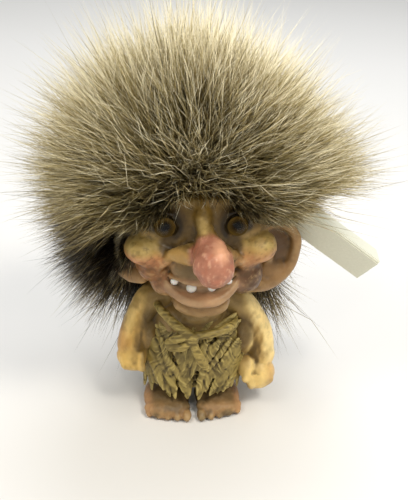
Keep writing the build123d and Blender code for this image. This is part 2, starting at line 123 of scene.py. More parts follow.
# A blob is (place, radii, turn in degrees). Blobs are melted into one skin
def blob(place, radii, turn=(0, 0, 0)):
    return place, (radii,) * 3 if np.isscalar(radii) else radii, turn


# Smooth path through stops of any width, such as (x, y, z, radius)
def alongPath(stops, count):
    stops = np.array(stops, float)
    padded = np.vstack([2 * stops[0] - stops[1], stops, 2 * stops[-1] - stops[-2]])
    where = np.linspace(0, len(stops) - 1, count)
    at = np.minimum(where.astype(int), len(stops) - 2)
    t = (where - at)[:, None]
    a, b, c, d = (padded[at + k] for k in range(4))
    bend, twist = 2 * a - 5 * b + 4 * c - d, 3 * b - a - 3 * c + d
    return 0.5 * (2 * b + (c - a) * t + bend * t ** 2 + twist * t ** 3)


def chain(stops, count, flatten=(1, 1, 1)):
    return [blob(stop[:3], tuple(stop[3] * share for share in flatten)) for stop in alongPath(stops, count)]


def mirrored(blobs):
    return [((-place[0], place[1], place[2]), radii, (turn[0], -turn[1], -turn[2]))
            for place, radii, turn in blobs]


# Closes overlapping shapes into one skin and eases the creases between them
def melt(mesh, voxel, rounds, factor=0.5):
    piece = bpy.data.objects.new("melting", mesh)
    scene.collection.objects.link(piece)
    remesh = piece.modifiers.new("Melt", "REMESH")
    remesh.mode = "VOXEL"
    remesh.voxel_size = voxel * mm
    soften = piece.modifiers.new("Soften", "SMOOTH")
    soften.factor = factor
    soften.iterations = rounds
    solved = piece.evaluated_get(bpy.context.evaluated_depsgraph_get())
    melted = bpy.data.meshes.new_from_object(solved)
    bpy.data.objects.remove(piece)
    bpy.data.meshes.remove(mesh)
    return melted


def meltBlobs(blobs, voxel, rounds, fineness=3):
    bm = bmesh.new()
    for place, radii, turn in blobs:
        pose = Euler([math.radians(angle) for angle in turn])
        matrix = Matrix.LocRotScale(Vector(place) * mm, pose, Vector(radii) * mm)
        bmesh.ops.create_icosphere(bm, subdivisions=fineness, radius=1, matrix=matrix)
    return melt(toMesh(bm, "blobs"), voxel, rounds)


def readVectors(items, name):
    values = np.empty(len(items) * 3, np.float32)
    items.foreach_get(name, values)
    return values.reshape(-1, 3).astype(float)


def readPoints(mesh):
    return readVectors(mesh.vertices, "co") / mm


def readNormals(mesh):
    return readVectors(mesh.vertex_normals, "vector")


def movePoints(mesh, points):
    mesh.vertices.foreach_set("co", (points * mm).astype(np.float32).ravel())
    mesh.update()


# Moves each point along its normal, by its own height in millimetres
def liftPoints(mesh, heights):
    movePoints(mesh, readPoints(mesh) + readNormals(mesh) * heights[:, None])


# Averages each point's values with its neighbours', round after round
def relax(mesh, values, rounds):
    edges = np.empty(len(mesh.edges) * 2, np.int32)
    mesh.edges.foreach_get("vertices", edges)
    first, second = edges.reshape(-1, 2).T
    size = len(values)
    count = np.bincount(edges, minlength=size)[:, None]
    for _ in range(rounds):
        total = np.stack([
            np.bincount(first, column[second], size) + np.bincount(second, column[first], size)
            for column in values.T
        ], axis=1)
        values = 0.5 * (values + total / count)
    return values


# How far each point stands out of a smoothed copy of the skin, in millimetres
def reliefOf(mesh, rounds):
    points = readPoints(mesh)
    return np.einsum("ij,ij->i", points - relax(mesh, points, rounds), readNormals(mesh))


def noiseAt(points, size, octaves=3, shift=0):
    scaled = (points / size + shift).tolist()
    return np.array([noise.fractal(p, 1.0, 2.0, octaves) for p in scaled])


# Three noises side by side, one for each direction
def noiseVectors(points, size, shifts):
    return np.stack([noiseAt(points, size, 2, shift) for shift in shifts], axis=1)


# Ridged noise, which folds a skin in narrow creases
def creases(points, size, shift=0):
    return 1 - 2.2 * np.abs(noiseAt(points, size, 3, shift))


# Soft oval mask, 1 inside and 0 outside
def spot(points, place, radii, soft=0.6):
    distance = np.linalg.norm((points - place) / radii, axis=1)
    return smoothStep(1 + soft / 2, 1 - soft / 2, distance)


def basePaint(points, hexText):
    return np.tile(linear(hexText)[:3], (len(points), 1))


def layer(paint, hexText, mask):
    paint += (np.array(linear(hexText)[:3]) - paint) * np.clip(mask, 0, 1)[:, None]


# Rows are colour, place, radii, softness and strength, painted in their order
def layerSpots(paint, points, *rows):
    for hexText, place, radii, soft, strength in rows:
        layer(paint, hexText, spot(points, place, radii, soft) * strength)


def storeFloat(mesh, name, values):
    attribute = mesh.attributes.new(name, "FLOAT", "POINT")
    attribute.data.foreach_set("value", np.asarray(values, np.float32))


def storeColour(mesh, name, paint):
    attribute = mesh.attributes.new(name, "FLOAT_COLOR", "POINT")
    rgba = np.ones((len(paint), 4), np.float32)
    rgba[:, :3] = np.clip(paint, 0, 1)
    attribute.data.foreach_set("color", rgba.ravel())


# Painted rubber: soft vinyl rubber, cast in a mould, sprayed in flat colours and rubbed with a dark wash.
# The wash stays in the creases and deepens them as painted shade, the raised grain is wiped clean and
# lightened as a painted highlight, and a thin varnish gives a dull shine
paintedRubber = {
    "washShadeHex": "#382a12",
    "washShadeDepth": 0.34,  # relief in mm at which a crease is fully dark
    "wipedHighlightHex": "#e6cf98",
    "grainSize": 1.1,
    "mottleSize": 4.5,
    "brushSize": 0.45,
    "brushHeight": 0.05,
    "grainHeight": 0.16,
    "darkest": 0.82,  # how far the mottle darkens and lightens the paint
    "lightest": 1.12,
    "roughness": 0.46,
    "sheen": 0.32,  # how much the dull varnish mirrors
    "warmth": (1.0, 0.97, 0.86),  # the varnish has yellowed
}


def makePaintedRubber(name, washShade, wipedHighlight, shine=0.0):
    material, add = startMaterial(name)
    look = paintedRubber
    place = add("TexCoord").outputs["Object"]
    colour = add("Attribute", attribute_name="paint").outputs["Color"]
    relief = add("Attribute", attribute_name="relief").outputs["Fac"]
    mottle, grain, brush = (
        add("TexNoise", {
            "Vector": place, "Scale": 1 / (look[key] * mm), "Detail": detail, "Roughness": roughness})
        for key, detail, roughness in (
            ("mottleSize", 4.0, 0.6), ("grainSize", 5.0, 0.65), ("brushSize", 2.0, 0.5)))
    level = add("MapRange", {
        "Value": mottle, "From Min": 0.3, "From Max": 0.7,
        "To Min": look["darkest"], "To Max": look["lightest"]})
    mottled = add("VectorMath", {0: colour, "Scale": level}, operation="SCALE")
    # The grain shifts the relief, so that the wash with its painted shade and the wiped paint with its
    # painted highlight break up
    uneven = add("Math", {0: grain, 1: -0.5}, operation="ADD")
    shifted = add("Math", {0: uneven, 1: 0.22, 2: relief}, operation="MULTIPLY_ADD")
    coat = mottled
    # First the dark wash, partly painted shade in the creases, then the wiped paint, partly a painted
    # highlight on the raised grain
    for hexKey, low, high, strength, kind in (
        ("washShadeHex", 0.02, -look["washShadeDepth"], washShade, "SMOOTHSTEP"), ("wipedHighlightHex", 0.05, 0.3, wipedHighlight, "LINEAR"),
    ):
        mask = add("MapRange", {
            "Value": shifted, "From Min": low, "From Max": high, "To Max": strength}, interpolation_type=kind)
        coat = add("Mix", {"Factor": mask, "A": coat, "B": linear(look[hexKey])}, data_type="RGBA")
    rough = add("MapRange", {
        "Value": grain, "From Min": 0.35, "From Max": 0.65,
        "To Min": look["roughness"] - shine - 0.07, "To Max": look["roughness"] - shine + 0.12})
    fine = add("Bump", {"Height": brush, "Strength": 0.35, "Distance": look["brushHeight"] * mm})
    coarse = add("Bump", {
        "Height": grain, "Normal": fine, "Strength": 0.6, "Distance": look["grainHeight"] * mm})
    shader = add("BsdfPrincipled", {
        "Base Color": coat, "Roughness": rough, "Specular IOR Level": look["sheen"], "Normal": coarse})
    add("OutputMaterial", {"Surface": shader})
    return material


# Keeps the paint and the relief on the mesh, where the material reads them
def finishPaint(mesh, paint, rounds=14, washShadeShare=1.0):
    storeColour(mesh, "paint", paint * paintedRubber["warmth"])
    storeFloat(mesh, "relief", reliefOf(mesh, rounds) * washShadeShare)


skinMaterial = makePaintedRubber("painted vinyl rubber, skin", washShade=0.85, wipedHighlight=0.2, shine=0.1)
tunicMaterial = makePaintedRubber("painted vinyl rubber, tunic", washShade=0.75, wipedHighlight=0.3)
feetMaterial = makePaintedRubber("painted vinyl rubber, feet", washShade=0.85, wipedHighlight=0.2)

# Head and ears
headForm = {
    "voxel": 0.42,
    "softenRounds": 9,
    "mouthHalfWidth": 10.6,
    "mouthHalfHeight": 1.9,
    "mouthDepth": 1.4,
    "wrinkle": 0.15,
    "noseWrinkle": 0.34,
}

headBlobs = [
    blob(headCentre, 20),
    blob((0, -4, 68), (17, 14, 12)),
    blob((0.5, -9, 53.5), (13.0, 12, 10)),
    blob((0.7, -6, 50), (13.0, 12, 9)),
    blob((1.0, -14.3, 44.8), (8.6, 6.8, 4.3)),
    blob((0, -2, 41), (8.5, 7.5, 6)),
    # Cheeks, drawn out towards the nose, and the skin between them and the eyes
    blob((-16.2, -14.0, 62.6), (5.4, 5.8, 4.4), (0, 6, 0)),
    blob((-12.6, -13.6, 61.2), (7.0, 5.4, 5.2), (0, 10, 0)),
    blob((16.8, -13.8, 62.4), (5.6, 5.9, 4.7), (0, -6, 0)),
    blob((13.2, -13.6, 61.0), (7.0, 5.4, 5.2), (0, -10, 0)),
    blob((-12.0, -10.4, 67.5), (8.0, 5.4, 6.5)),
    blob((12.4, -10.4, 67.5), (8.0, 5.4, 6.5)),
    # Brow and the slope from it to the nose
    blob((0.2, -10.6, 70.5), (11, 6.6, 8.5)),
    blob((0.4, -14.2, 66.5), (7.6, 5.4, 6.5)),
    # Jowls
    blob((-12.4, -11.2, 57.0), (6.0, 7, 6)),
    blob((-9.4, -11.8, 51.6), (4.8, 6.5, 5)),
    blob((13.2, -11.0, 53.0), (6.2, 7.2, 7.2)),
    # Upper lip
    blob((0.6, -17.9, 59.0), (9.6, 4.9, 5.2)),
]
# Nose from its bridge to its tip, and its wings
headBlobs += chain([
    (0.0, -15.4, 75.5, 2.2), (0.2, -18.0, 73.0, 2.4), (0.7, -21.6, 70.6, 2.8), (1.4, -25.4, 67.6, 4.4),
    (2.1, -28.8, 65.2, 5.6), (2.4, -29.8, 64.0, 5.4)], 22)
headBlobs += chain([(-8.8, -19.0, 63.0, 1.3), (-6.2, -20.6, 63.8, 2.3), (-3.0, -22.4, 64.8, 3.4)], 9)
headBlobs += chain([(9.4, -19.0, 62.4, 1.2), (7.4, -20.6, 63.2, 2.2), (5.2, -22.4, 64.4, 3.2)], 9)
# Brows and the thin rims round the eyes
headBlobs += chain([
    (-18, -6.6, 74, 1.6), (-11, -11.6, 76.4, 1.8), (-4, -14.0, 76.8, 1.9), (0, -14.6, 76.6, 1.9),
    (4, -14.0, 76.8, 1.9), (11, -11.6, 76.4, 1.8), (18, -6.6, 74, 1.6)], 30)
for side in sides:
    for angle in range(0, 360, 15):
        across, up = math.cos(math.radians(angle)), math.sin(math.radians(angle))
        headBlobs.append(blob((side * (eyes["across"] + eyes["rimRadius"] * across), -15.4 - 0.4 * up,
                               eyes["height"] + eyes["rimRadius"] * up), 0.7))
# Lips
headBlobs += chain([
    (-10.4, -16.3, 54.6, 1.1), (-8.4, -18.3, 51.5, 1.6), (-4, -20.3, 49.2, 1.9), (0.5, -20.9, 48.5, 2.0),
    (5.4, -20.3, 49.1, 1.9), (9.3, -18.2, 51.5, 1.6), (11.4, -16.1, 54.6, 1.1)], 30)
headBlobs += chain([
    (-10.4, -16.3, 55.0, 1.0), (-6, -20.0, 55.3, 1.2), (0.5, -21.3, 55.0, 1.3), (7, -19.9, 55.3, 1.2),
    (11.4, -15.9, 55.0, 1.0)], 24)
# Folds from the nose's wings to the mouth's corners
headBlobs += chain([(-9.6, -19, 61.5, 1.4), (-11.8, -17.6, 58.5, 1.5), (-12.2, -16, 55, 1.5)], 9)
headBlobs += chain([(10.8, -19, 61, 1.4), (13, -17, 58, 1.5), (13.6, -15.2, 54, 1.5)], 9)

# The viewer's right ear stands free; the left one is smaller, lies closer to the head and ends higher
farEar = {"rootAcross": 15, "rootHeight": 54.8, "width": 0.66, "height": 0.84, "rise": 2.6, "thickness": 0.92}
earBlobs = [blob((23.3, -2.8, 54.8), (7.6, 2.9, 9.8), (0, -6, 12)), blob((22, -5, 49.4), (6, 3, 4.2))]
earBlobs += chain([
    (19, -4.2, 63.5, 1.5), (23.5, -4.6, 65.0, 1.4), (28, -4.6, 63.4, 1.5), (30.3, -4.4, 59.5, 1.6),
    (30, -4.2, 54.9, 1.8), (28.6, -4.4, 50.8, 2.1), (25.6, -5.2, 47.8, 2.5), (21.2, -6.6, 46.2, 2.8),
    (16.8, -8.2, 46.8, 2.9)], 44)
earBlobs += chain([(20.5, -5.5, 59.5, 1.5), (22.4, -5.6, 57, 1.4), (21.8, -6.2, 54, 1.5)], 8)
headBlobs += earBlobs + mirrored([
    ((farEar["rootAcross"] + (x - farEar["rootAcross"]) * farEar["width"], y,
      farEar["rootHeight"] + (z - farEar["rootHeight"]) * farEar["height"] + farEar["rise"]),
     tuple(radius * farEar["thickness"] for radius in radii), turn)
    for (x, y, z), radii, turn in earBlobs])


# Height of the line between the lips
def mouthLine(x):
    return np.interp(x, (-10.4, -6, -2.5, 1, 5, 8, 11.2), (55.2, 53.0, 52.0, 51.8, 52.1, 53.0, 55.0))


def makeHead():
    form = headForm
    mesh = meltBlobs(headBlobs, form["voxel"], form["softenRounds"])
    points = readPoints(mesh)
    x, y, z = points.T
    # Mouth: a lens-shaped hollow behind the lips
    share = np.clip((x - 0.4) / form["mouthHalfWidth"], -1, 1)
    half = form["mouthHalfHeight"] * np.sqrt(1 - share ** 2) + 0.15
    off = np.abs(z - mouthLine(x)) / half
    y += smoothStep(1.25, 0.75, off) * smoothStep(1.0, 0.9, np.abs(share)) * (y < -12) * form["mouthDepth"]
    # Flat floors of the eye sockets, so that the glass stands free
    for side in sides:
        away = np.hypot(x - side * eyes["across"], z - eyes["height"])
        inSocket = (y < -10) & (away < eyes["socketRadius"])
        y[inSocket] = np.maximum(y[inSocket], eyes["socketFloor"])
    movePoints(mesh, points)
    mesh = melt(mesh, form["voxel"], 2, 0.4)

    # Leathery creases, coarser and deeper on the nose
    points = readPoints(mesh)
    onNose = spot(points, (1.6, -28, 67), (9, 11, 9), 0.5)
    inSocket = sum(
        spot(points, (side * eyes["across"], -16.5, eyes["height"]), (4.2, 4.2, 4.2), 0.3) for side in sides)
    crinkle = noiseAt(points * (1, 1, 0.7), 2.6, 4, 7) - 0.7 * np.abs(noiseAt(points, 4.2, 2, 17))
    lift = form["wrinkle"] * creases(points, 5.5) * (1 - onNose) + form["noseWrinkle"] * crinkle * onNose
    liftPoints(mesh, lift * (1 - np.clip(inSocket, 0, 1)))
    return mesh


def paintHead(mesh):
    points = readPoints(mesh)
    x, y, z = points.T
    cloud = noiseAt(points, 2.4, 3, 61)
    paint = basePaint(points, "#8a6a45")
    layer(paint, "#9d7848", 0.5 + 0.9 * noiseAt(points, 9, 3, 3))
    # Darker paint over the forehead and the temples and round the eyes, as painted shade under the brow and
    # the fur; ochre and rose on the cheeks, with a painted highlight on their tops and painted shade beside
    # the nose
    layer(paint, "#80642e", smoothStep(65, 70, z))
    layer(paint, "#6e5730", spot(points, (0, -20, 66.5), (13, 9, 7), 0.7))
    for side in sides:
        rosy, ochre = (0.9, 1.0) if side < 0 else (0.55, 0.7)
        layerSpots(
            paint, points,
            # Painted shade round the eyes, under the brow and the overhanging fur
            ("#4c3a1c", (side * 10.0, -16, 71.6), (6.0, 6, 5.2), 0.6, 1),
            ("#2e2310", (side * eyes["across"], -17, eyes["height"]), (4.9, 4, 4.9), 0.2, 1),
            ("#ad8350", (side * 16.2, -17, 61.6), (7.6, 8, 5.4), 0.8, 1),
            ("#b87a54", (side * 16.6, -18, 60.4), (6.6, 8, 4.2), 1.1, rosy),
            ("#b39758", (side * 16.6, -17, 65.1), (7.2, 7, 3.0), 1.0, ochre),
            # A painted highlight on the top of each cheek
            ("#c4aa6c", (side * 17.2, -18, 65.4), (5.0, 6, 1.8), 1.0, 0.5 + 1.2 * cloud),
            # Painted shade in the fold between each cheek and the nose
            ("#54401e", (side * 9.4, -17, 64.6), (2.5, 5, 3.6), 0.9, 0.9))
    # Below the cheeks
    layerSpots(
        paint, points,
        ("#85562f", (-13, -15, 55), (6, 8, 5.5), 0.9, 1),
        ("#5a3c26", (14.5, -14, 52), (7, 8, 7), 0.9, 1))
    # Fine specks of dark and pale paint all over
    specks = noiseAt(points, 1.3, 3, 88)
    layer(paint, "#4a3818", smoothStep(0.12, 0.5, specks) * 0.45)
    layer(paint, "#c8a878", smoothStep(-0.15, -0.55, specks) * smoothStep(66, 63, z) * 0.3)
    # Upper lip, lips with a painted highlight on the lower lip, and chin, then the nose's ochre wings
    layerSpots(
        paint, points,
        ("#6c5736", (0, -21, 58.5), (9, 6, 2.8), 0.9, 1),
        ("#987458", (0.8, -21, 51.5), (12.5, 8, 5.0), 0.5, 1),
        # A painted highlight on the lower lip
        ("#b48e6c", (0.8, -22, 48.8), (7.5, 4, 1.2), 0.9, 0.8),
        ("#8f6e45", (1.2, -19, 43.6), (9.5, 8, 3.4), 0.8, 1),
        ("#8a7040", (1.2, -14, 39.5), (12, 10, 3.4), 0.7, 1),
        ("#a9854b", (-6.4, -23, 63.8), (5.8, 5, 2.8), 0.6, 1),
        ("#8c6c42", (7.6, -23, 63), (4.2, 5, 2.4), 0.6, 1))
    # Rosy tip of the nose, with painted shade in its folds and painted highlights on its ridges and its upper
    # right, and an ochre patch on the bridge as a painted highlight
    tip = spot(points, (2.0, -28.5, 66.2), (7.4, 9.0, 8.4), 0.4)
    tip *= smoothStep(-22.0, -25.5, y + 0.25 * (z - 66)) * smoothStep(-5.4, -3.0, x)
    relief = reliefOf(mesh, 6)
    layer(paint, "#a56f5c", tip)
    layer(paint, "#b37058", tip * smoothStep(0.0, 0.45, noiseAt(points, 3.2, 3, 41)) * 0.6)
    # Painted shade in the nose's folds
    layer(paint, "#8f5443", tip * smoothStep(-0.02, -0.1, relief) * 0.7)
    # Painted highlights on the nose's raised ridges
    layer(paint, "#e8bb9f", tip * smoothStep(0.04, 0.12, relief) * 0.4)
    layerSpots(
        paint, points,
        # A painted highlight on the upper right of the nose
        ("#efb594", (4.2, -30, 69.6), (2.4, 5, 2.2), 1.2, tip * 0.7),
        # An ochre painted highlight on the bridge of the nose
        ("#b89d66", (-0.2, -21.5, 73.0), (1.5, 4, 2.0), 1.0, 0.8 + cloud))
    # Inside the mouth
    layer(paint, "#a5886b", spot(points, (0.4, -18, 52.9), (9.8, 6, 2.7), 0.3) * smoothStep(-20.2, -19.0, y))
    # Ears: pale on the raised rim as a painted highlight, dark in the bowl and at the back as painted shade
    earRelief = reliefOf(mesh, 30)
    for side, scale in ((1, 1.0), (-1, 0.84)):
        earX = x * side / scale
        onEar = smoothStep(18.5, 21, earX) * smoothStep(-13, -10.5, y)
        layer(paint, "#93714a", onEar)
        bowl = spot(np.stack([earX, y, z], axis=1), (24.6, -6, 57.5), (3.8, 6, 5.6), 0.9)
        # Painted shade in the ear's hollow bowl
        layer(paint, "#60462a", bowl * onEar)
        # A painted highlight on the raised front of the rim
        layer(paint, "#a17a4e", onEar * smoothStep(0.15, 0.6, earRelief) * smoothStep(-2.5, -4.5, y))
        # Painted shade at the back of the ear
        layer(paint, "#5a4530", onEar * smoothStep(-1.5, 0.5, y))
    # The skull under the fur, painted near black as the shade under the fur
    layer(paint, "#2a2218", smoothStep(-6, 2, y) * smoothStep(52, 60, z) * (np.abs(x) < 21))
    return paint


headMesh = makeHead()
headPoints = readPoints(headMesh)
# The nose and the sockets stay nearly free of the dark wash with its painted shade, and of the wiped painted
# highlight
lessWashShade = 1 - 0.8 * spot(headPoints, (1.8, -28.5, 66.2), (7.4, 9.4, 8.4), 0.5)
for side in sides:
    lessWashShade *= 1 - spot(headPoints, (side * eyes["across"], -17, eyes["height"]), (4.9, 5, 4.9), 0.3)
finishPaint(headMesh, paintHead(headMesh), 14, lessWashShade)
addPiece("head", headMesh, skinMaterial, "painted_skin", "head_casting", "left_ear", "right_ear")

# Body, neck, shoulders and arms. Each arm hangs from the shoulder and its fist rests at the hip
bodyForm = {"voxel": 0.42, "softenRounds": 6, "wrinkle": 0.14}
bodyBlobs = [
    blob((0.5, -1, 38), (9, 8, 6)),
    blob((0, -0.5, 31), (13.4, 10.2, 9.5)),
    blob((0, -0.5, 21), (13.8, 10.3, 11.5)),
    blob((0.5, -5, 36), (8.5, 6.5, 4.5)),
]
bodyBlobs += chain([
    (-9, -1, 40.6, 4.8), (-13.2, -1.2, 38.2, 4.7), (-16.2, -1.6, 33.2, 4.4), (-18.4, -2.4, 27.8, 4.3),
    (-19.5, -3.6, 23.2, 4.4)], 20)
bodyBlobs += chain([
    (10, -1, 38.4, 4.8), (14.6, -1.2, 35.8, 4.7), (18.4, -1.4, 30.6, 4.5), (21.3, -2, 24.4, 4.5),
    (22.2, -3.4, 17.6, 4.5)], 20)
# Webs between the arms and the sides
bodyBlobs += [blob((-14.4, -0.5, 27), (4.5, 6, 8)), blob((16.2, -0.8, 25), (5, 6, 9))]
# Fists and their fingers
bodyBlobs += [blob((-19.2, -4.5, 19.4), (4.9, 4.8, 5.0)), blob((21.2, -5.5, 11.8), (5.5, 5.3, 5.5)),
              blob((17.4, -5.6, 14.4), (3.2, 4.2, 4.0))]
for k in range(4):
    bodyBlobs += chain([(-22.3 + 1.9 * k, -7.4 - 0.3 * k, 20.2 - 0.3 * k, 1.0),
                        (-21.9 + 1.85 * k, -7.8 - 0.3 * k, 18.2 - 0.3 * k, 1.15),
                        (-21.4 + 1.75 * k, -6.4, 16.5 - 0.2 * k, 1.1)], 6)
    bodyBlobs += chain([(18.4 + 2.1 * k, -9.4 + 0.5 * k, 12.8 + 0.2 * k, 1.1),
                        (18.6 + 2.05 * k, -9.7 + 0.5 * k, 10.0 + 0.3 * k, 1.25),
                        (19.0 + 1.85 * k, -7.6 + 0.4 * k, 7.9 + 0.3 * k, 1.2)], 6)
bodyBlobs += chain([(-16.6, -7.6, 21.4, 1.1), (-16.8, -8.6, 18.8, 1.2)], 4)
bodyBlobs += chain([(17.2, -8.8, 15.4, 1.2), (16.7, -9.7, 12.2, 1.3)], 4)


def makeBody():
    form = bodyForm
    mesh = meltBlobs(bodyBlobs, form["voxel"], form["softenRounds"])
    liftPoints(mesh, form["wrinkle"] * creases(readPoints(mesh) * (1, 1, 0.6), 4.0, 5))
    return mesh


def paintBody(mesh):
    points, normals = readPoints(mesh), readNormals(mesh)
    x, y, z = points.T
    paint = basePaint(points, "#8a7145")
    broad = 0.5 + 1.0 * noiseAt(points, 6, 3, 3)
    outward = normals[:, 0] * np.sign(x)
    lean = (39 - z) * 0.12  # the arms slant outwards as they go down
    onArm = np.where(x < 0, smoothStep(-12.5, -15.5, x + lean), smoothStep(13.5, 17, x - lean))
    layer(paint, "#b8934f", onArm)
    # Painted light on the outward face of each arm, in broad patches
    layer(paint, "#e0c07a", onArm * smoothStep(0.0, 0.7, outward) * smoothStep(0.0, 0.7, broad + 0.2))
    # A painted highlight on the right arm where it faces right and forwards
    layer(paint, "#fbe3a6", onArm * (x > 0) * smoothStep(0.1, 0.8, normals[:, 0] - 0.4 * normals[:, 1]) * 0.7)
    layer(paint, "#8a6c38", onArm * smoothStep(0.05, 0.6, noiseAt(points, 5.5, 4, 21)) * 0.5)
    layer(paint, "#6b5226", onArm * smoothStep(0.1, 0.5, noiseAt(points * (1.4, 1, 0.8), 1.7, 3, 31)) * 0.2)
    layerSpots(
        paint, points,
        ("#b3763f", (-23, -3, 24), (4, 5, 6), 1, onArm * 0.6),
        # Painted highlights on the fists
        ("#f0d088", (20, -9, 12), (6, 5, 6), 0.8, 0.7),
        ("#d9b56a", (-19.5, -7, 19), (5, 5, 5), 0.8, 0.7),
        ("#c08a54", (25.5, -6, 12), (3.5, 5, 5), 1, onArm * 0.5))
    # Painted shade on the inner side of each arm and between the arms and the body, and paler shoulders
    layer(paint, "#574320", onArm * smoothStep(0.15, -0.5, outward) * (z > 14) * 0.9)
    layerSpots(
        paint, points,
        ("#574320", (15.6, -6, 28), (3.2, 6, 7), 0.9, 0.85),
        ("#5a4722", (-13.8, -6, 33), (2.6, 6, 6), 0.9, 0.85),
        ("#8d7443", (-11, -7, 40), (5, 6, 4), 1, 0.8),
        ("#8d7443", (12, -7, 37), (5, 6, 4), 1, 0.8))
    return paint


bodyMesh = makeBody()
finishPaint(bodyMesh, paintBody(bodyMesh))
addPiece("body", bodyMesh, skinMaterial, "painted_skin", "body_casting", "left_arm", "right_arm")

# Feet: broad and bare, with a row of stubby toes
footForm = {"voxel": 0.38, "softenRounds": 5, "toes": 5, "wrinkle": 0.12}


def makeFoot(side):
    form = footForm
    blobs = [
        blob((side * 8.2, -4.5, 3.0), (7.4, 9.8, 3.9), (8, 0, side * 4)),
        blob((side * 7.6, 3.5, 3.4), (6.0, 6.0, 4.4)),
        blob((side * 7.2, 0, 9), (5.6, 5.6, 8)),
        blob((side * 8.3, -10, 2.5), (7.4, 4.4, 2.9)),
    ]
    for k in range(form["toes"]):
        share = k / (form["toes"] - 1)
        across = side * (8.5 + 5.9 * (share * 2 - 1))
        radius = 1.75 - 0.45 * share
        forward = -13.4 + 2.4 * share ** 1.6
        blobs.append(blob((across - side * 0.2, forward, 1.7 - 0.2 * share),
                          (radius * 0.86, radius * 1.5, radius)))
    mesh = meltBlobs(blobs, form["voxel"], form["softenRounds"])
    liftPoints(mesh, form["wrinkle"] * creases(readPoints(mesh), 3.5, 11))
    points = readPoints(mesh)
    points[:, 2] = np.maximum(points[:, 2], 0)
    movePoints(mesh, points)
    return mesh


def paintFoot(mesh, side):
    points = readPoints(mesh)
    x, y, z = points.T
    paint = basePaint(points, "#6c573a")
    broad = 0.5 + 1.0 * noiseAt(points, 5, 3, 9)
    layer(paint, "#96754f", smoothStep(-9, -14, y) * smoothStep(0.1, 0.7, broad))
    # Painted shade over the back of each foot, under the tunic's hem, in patches, stronger on the viewer's
    # right foot
    tunicShade = 0.95 if side > 0 else 0.75
    layer(paint, "#4c402a", smoothStep(-12, -6, y) * smoothStep(1.0, 0.2, broad) * tunicShade)
    layer(paint, "#b98c62", smoothStep(12, 15, x * side) * 0.8)
    return paint


for side, word in zip(sides, ("right", "left")):
    footMesh = makeFoot(side)
    finishPaint(footMesh, paintFoot(footMesh, side))
    addPiece(word + "_foot", footMesh, feetMaterial, "painted_feet", word + "_leg")

# Tunic: moulded locks that fan down from the knot, in overlapping rows
tunicForm = {
    "voxel": 0.3,
    "softenRounds": 2,
    "groove": 0.3,
    "rowHeights": (30.0, 26.4, 22.4, 18.4, 15.0, 14.0),
    "locksPerRow": 32,
    "lockLength": 7.2,
    "lockWidth": 1.3,
    "lockThickness": 0.75,
    "fan": 1.3,
    "hem": 6.2,  # no lock ends lower
}


# Half width and half depth of the tunic's core at a height
def tunicSpan(z):
    heights = (7, 12, 18, 25, 30, 34)
    return (np.interp(z, heights, (14.2, 15.4, 15.7, 14.4, 12.6, 11.2)),
            np.interp(z, heights, (10.8, 11.3, 11.5, 11.0, 10.2, 9.4)))


# One moulded lock that points away from the knot in front and from the nape behind
def makeLock(angle, z, rng):
    form = tunicForm
    half, deep = tunicSpan(z - 2)
    forward = math.cos(angle)  # 1 in front, -1 behind
    out = Vector((math.sin(angle) / half, -forward / deep, 0)).normalized()
    place = Vector((0.7 + half * math.sin(angle), -0.6 - deep * forward, z))
    away = place - Vector((-1.3, -11, 35) if forward > 0 else (0, 10, 35))
    along = Vector((away.x * form["fan"], 0, min(away.z, -3)))
    along = (along - out * along.dot(out)).normalized()
    sway = 0.25 * noise.fractal(tuple(place / 9), 1.0, 2.0, 2) + rng.normal(0, 0.14)
    along = (along + out * rng.uniform(0.06, 0.17) + out.cross(along) * sway).normalized()
    across = out.cross(along).normalized()
    matrix = Matrix((along.cross(across), across, along)).transposed()
    size = rng.uniform(0.75, 1.2)
    place.z = max(place.z, form["hem"] + form["lockLength"] * size)
    radii = (form["lockThickness"] * size, form["lockWidth"] * rng.uniform(0.85, 1.25),
             form["lockLength"] * size)
    nearTie = forward > 0.2 and place.z > 26 - 0.2 * abs(place.x)
    proud = rng.uniform(-1.0, -0.6) if nearTie else rng.uniform(-0.2, 0.5)
    return blob(tuple(place + out * proud), radii, [math.degrees(turn) for turn in matrix.to_euler()])


def makeTunic():
    form = tunicForm
    rng = np.random.default_rng(5)
    blobs = []
    for z in np.arange(11.5, 33, 2.5):
        half, deep = tunicSpan(z)
        blobs.append(blob((0.7, -0.6, z), (half + 0.15, deep + 0.15, 3.2)))
    for row, height in enumerate(form["rowHeights"]):
        for k in range(form["locksPerRow"]):
            angle = 2 * math.pi * (k + 0.5 * (row % 2) + rng.uniform(-0.55, 0.55)) / form["locksPerRow"]
            blobs.append(makeLock(angle, height + rng.uniform(-1.9, 1.9), rng))
    mesh = meltBlobs(blobs, form["voxel"], form["softenRounds"], 2)
    # Leaf ribs run away from the knot in front and from the nape behind
    points = readPoints(mesh)
    x, y, z = points.T
    front = y < 0
    fromX, fromZ = x - np.where(front, -1.3, 0), np.where(front, 36, 40) - z
    fan = np.stack([
        np.arctan2(fromX, fromZ) * 17, np.hypot(fromX, fromZ) / 8, np.where(front, 0, 40)], axis=1)
    fan[:, 0] += 2.2 * noiseAt(points, 7, 2, 80)
    ribs = np.abs(noiseAt(fan, 1.7, 2, 5)) + 0.5 * np.abs(noiseAt(fan * (1, 1.6, 1), 0.7, 1, 25))
    liftPoints(mesh, form["groove"] * (0.35 - 1.5 * ribs) * smoothStep(0, 0.4, ribs + 0.3))
    return mesh


